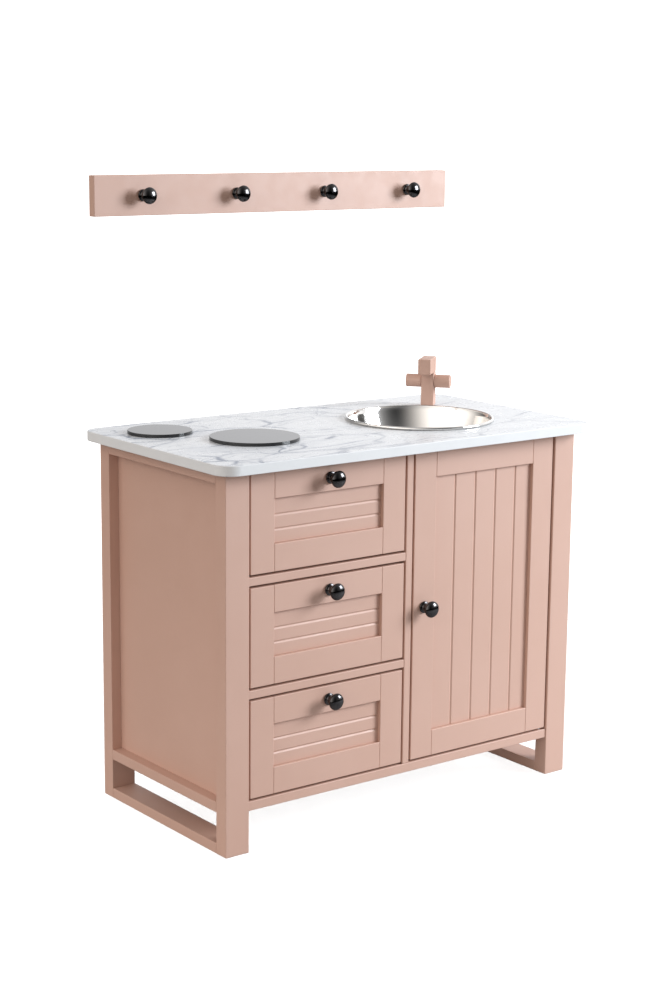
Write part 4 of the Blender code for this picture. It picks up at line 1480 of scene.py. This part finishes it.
@dataclass
class Studio:
    """The pale floor, the soft light and the camera.

    Args:
        floor_radius: How far the floor reaches.
        floor_near: How far from the middle it starts to fade out.
        floor_far: Where it has faded out.
        floor_veil: How clear it is near the middle, 1 being all clear.
        floor_colour: Its colour.
        floor_shade: How light its darker patches are beside that colour.
        floor_drop: How far it lies below the feet.
        floor_thickness: How far its underside lies below the feet.
        floor_steps: How many straight steps go round it.
        key_place: Where the large soft light hangs.
        key_target: What it looks at.
        key_size: How long its sides are.
        key_power: Its power in watts.
        key_tint: Its colour.
        backdrop: How bright the room is where it is seen.
        haze: The light that comes from everywhere above the floor.
        glows: Each glow's way, its power and its colour.
        camera_place: Where the camera stands.
        azimuth: How far it looks to the right of straight ahead.
        elevation: How far it looks down.
        roll: How far it leans to the side.
        lens: Its focal length in millimetres.
        view_end: How far it sees.
    """

    floor_radius: float = 4.0
    floor_near: float = 0.7
    floor_far: float = 2.6
    floor_veil: float = 0.68
    floor_colour: tuple = (0.90, 0.90, 0.905)
    floor_shade: float = 0.985
    floor_drop: float = 0.0004
    floor_thickness: float = 0.01
    floor_steps: int = 96
    key_place: tuple = (2.45, -2.05, 1.57)
    key_target: tuple = (0.0, 0.0, 0.40)
    key_size: float = 1.4
    key_power: float = 135.0
    key_tint: tuple = (0.93, 1.0, 1.07)
    backdrop: float = 1.90
    haze: float = 0.05
    glows: tuple = (
        ((-1.0, 0.0, 0.0), 2.0, (2.42, 2.30, 2.18)),
        ((1.0, 0.0, 0.0), 2.0, (1.45, 1.45, 1.46)),
        ((0.0, 0.0, 1.0), 2.0, (0.42, 0.42, 0.43)),
        ((0.6, 0.78, 0.12), 6.0, (0.64, 0.64, 0.66)),
    )
    camera_place: tuple = (-1.896, -2.465, 1.102)
    azimuth: float = math.radians(37.293)
    elevation: float = math.radians(11.373)
    roll: float = math.radians(0.576)
    lens: float = 70.35
    view_end: float = 60.0

    def floor(self) -> None:
        """Lay a round floor that fades out towards its edge."""
        radius, top, under = self.floor_radius, -self.floor_drop, -self.floor_thickness
        corners = [(0.0, under), (radius, under), (radius, top), (0.0, top)]
        outline = filleted(corners, 0.0, steps=1, closed=False)
        graph = Graph("studio_floor")
        shaded = tuple(self.floor_shade * part for part in self.floor_colour)
        graph.dress(Base_Color=graph.mix(graph.noise(3.0), self.floor_colour, shaded), Roughness=0.6)
        away = graph.vector("LENGTH", graph.place).outputs["Value"]
        fade = graph.spread(away, self.floor_near, self.floor_far, self.floor_veil, 1.0)
        clear = graph.add("ShaderNodeBsdfTransparent")
        blend = graph.add("ShaderNodeMixShader")
        graph.join(fade, blend.inputs[0])
        graph.join(graph.shader.outputs[0], blend.inputs[1])
        graph.join(clear.outputs[0], blend.inputs[2])
        graph.join(blend.outputs[0], graph.tree.nodes["Material Output"].inputs["Surface"])
        floor = make_object("studio_floor", turned(outline, self.floor_steps), [graph.material])

    def key_light(self) -> None:
        """Hang a large soft light to the right of the front."""
        lamp = bpy.data.lights.new("key_light", "AREA")
        lamp.shape = "SQUARE"
        lamp.size = self.key_size
        lamp.energy = self.key_power
        lamp.color = self.key_tint
        stand = bpy.data.objects.new("key_light", lamp)
        stand.location = self.key_place
        way = Vector(self.key_target) - Vector(self.key_place)
        stand.rotation_euler = way.to_track_quat("-Z", "Y").to_euler()
        stand.visible_camera = False
        bpy.context.scene.collection.objects.link(stand)

    def surroundings(self) -> None:
        """Light the room by soft glows above the floor, and make it white where it is seen.

        A glow's light from a direction d is its colour times the cosine of the angle between
        d and the glow's own way, raised to the glow's power. Below zero it is nothing.
        """
        world = bpy.data.worlds.new("studio")
        world.use_nodes = True
        bpy.context.scene.world = world
        tree = world.node_tree
        tree.nodes.clear()

        def node(kind: str, operation: str, *values: object) -> bpy.types.Node:
            """Add a node that works on the values, which are sockets, numbers or colours."""
            made = tree.nodes.new(kind)
            made.operation = operation
            for value, socket in zip(values, made.inputs):
                if isinstance(value, bpy.types.NodeSocket):
                    tree.links.new(value, socket)
                else:
                    socket.default_value = value
            return made

        way = tree.nodes.new("ShaderNodeTexCoord").outputs["Generated"]
        light = (self.haze,) * 3
        for towards, power, colour in self.glows:
            dot = node("ShaderNodeVectorMath", "DOT_PRODUCT", way, Vector(towards).normalized())
            cosine = node("ShaderNodeMath", "MAXIMUM", dot.outputs["Value"], 0.0)
            share = node("ShaderNodeMath", "POWER", cosine.outputs[0], power)
            added = node("ShaderNodeVectorMath", "MULTIPLY_ADD", share.outputs[0], colour, light)
            light = added.outputs[0]
        height = node("ShaderNodeVectorMath", "DOT_PRODUCT", way, (0.0, 0.0, 1.0)).outputs["Value"]
        above = node("ShaderNodeMath", "GREATER_THAN", height, 0.0).outputs[0]
        light = node("ShaderNodeVectorMath", "MULTIPLY", light, above).outputs[0]
        glow = tree.nodes.new("ShaderNodeBackground")
        tree.links.new(light, glow.inputs["Color"])
        wall = tree.nodes.new("ShaderNodeBackground")
        wall.inputs["Strength"].default_value = self.backdrop
        wall.inputs["Color"].default_value = (1.0, 1.0, 1.0, 1.0)
        seen = tree.nodes.new("ShaderNodeLightPath").outputs["Is Camera Ray"]
        choice = tree.nodes.new("ShaderNodeMixShader")
        output = tree.nodes.new("ShaderNodeOutputWorld")
        for value, socket in zip((seen, glow.outputs[0], wall.outputs[0]), choice.inputs):
            tree.links.new(value, socket)
        tree.links.new(choice.outputs[0], output.inputs["Surface"])

    def camera(self) -> None:
        """Set up the camera to the front left, a little above the worktop."""
        data = bpy.data.cameras.new("camera")
        data.lens = self.lens
        data.sensor_fit = "AUTO"
        data.clip_end = self.view_end
        camera = bpy.data.objects.new("camera", data)
        level_right = Vector((math.cos(self.azimuth), -math.sin(self.azimuth), 0.0))
        ahead = Vector(
            (
                math.sin(self.azimuth) * math.cos(self.elevation),
                math.cos(self.azimuth) * math.cos(self.elevation),
                -math.sin(self.elevation),
            )
        )
        level_up = level_right.cross(ahead)
        right = level_right * math.cos(self.roll) + level_up * math.sin(self.roll)
        up = level_up * math.cos(self.roll) - level_right * math.sin(self.roll)
        turn = Matrix((right, up, -ahead)).transposed().to_4x4()
        camera.matrix_world = Matrix.Translation(self.camera_place) @ turn
        bpy.context.scene.collection.objects.link(camera)
        bpy.context.scene.camera = camera

    def build(self) -> None:
        """Set up the whole studio."""
        bpy.context.scene.view_settings.view_transform = "Standard"
        self.floor()
        self.key_light()
        self.surroundings()
        self.camera()


def main() -> None:
    """Build the studio and every sub-assembly."""
    logging.basicConfig(level=logging.INFO, format="%(message)s")
    bowl_low, bowl_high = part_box("sink_bowl")
    finishes = Finishes(tuple((bowl_low + bowl_high) / 2))
    Studio().build()
    Carcass(finishes).build()
    Worktop(finishes).build()
    for number in (1, 2, 3):
        Drawer(finishes, f"drawer_{number}", f"drawer_{number}").build()
    Door(finishes, "door").build()
    Bowl(finishes).build()
    Hob(finishes).build()
    Tap(finishes).build()
    WallRail(finishes).build()


if __name__ == "__main__":
    main()
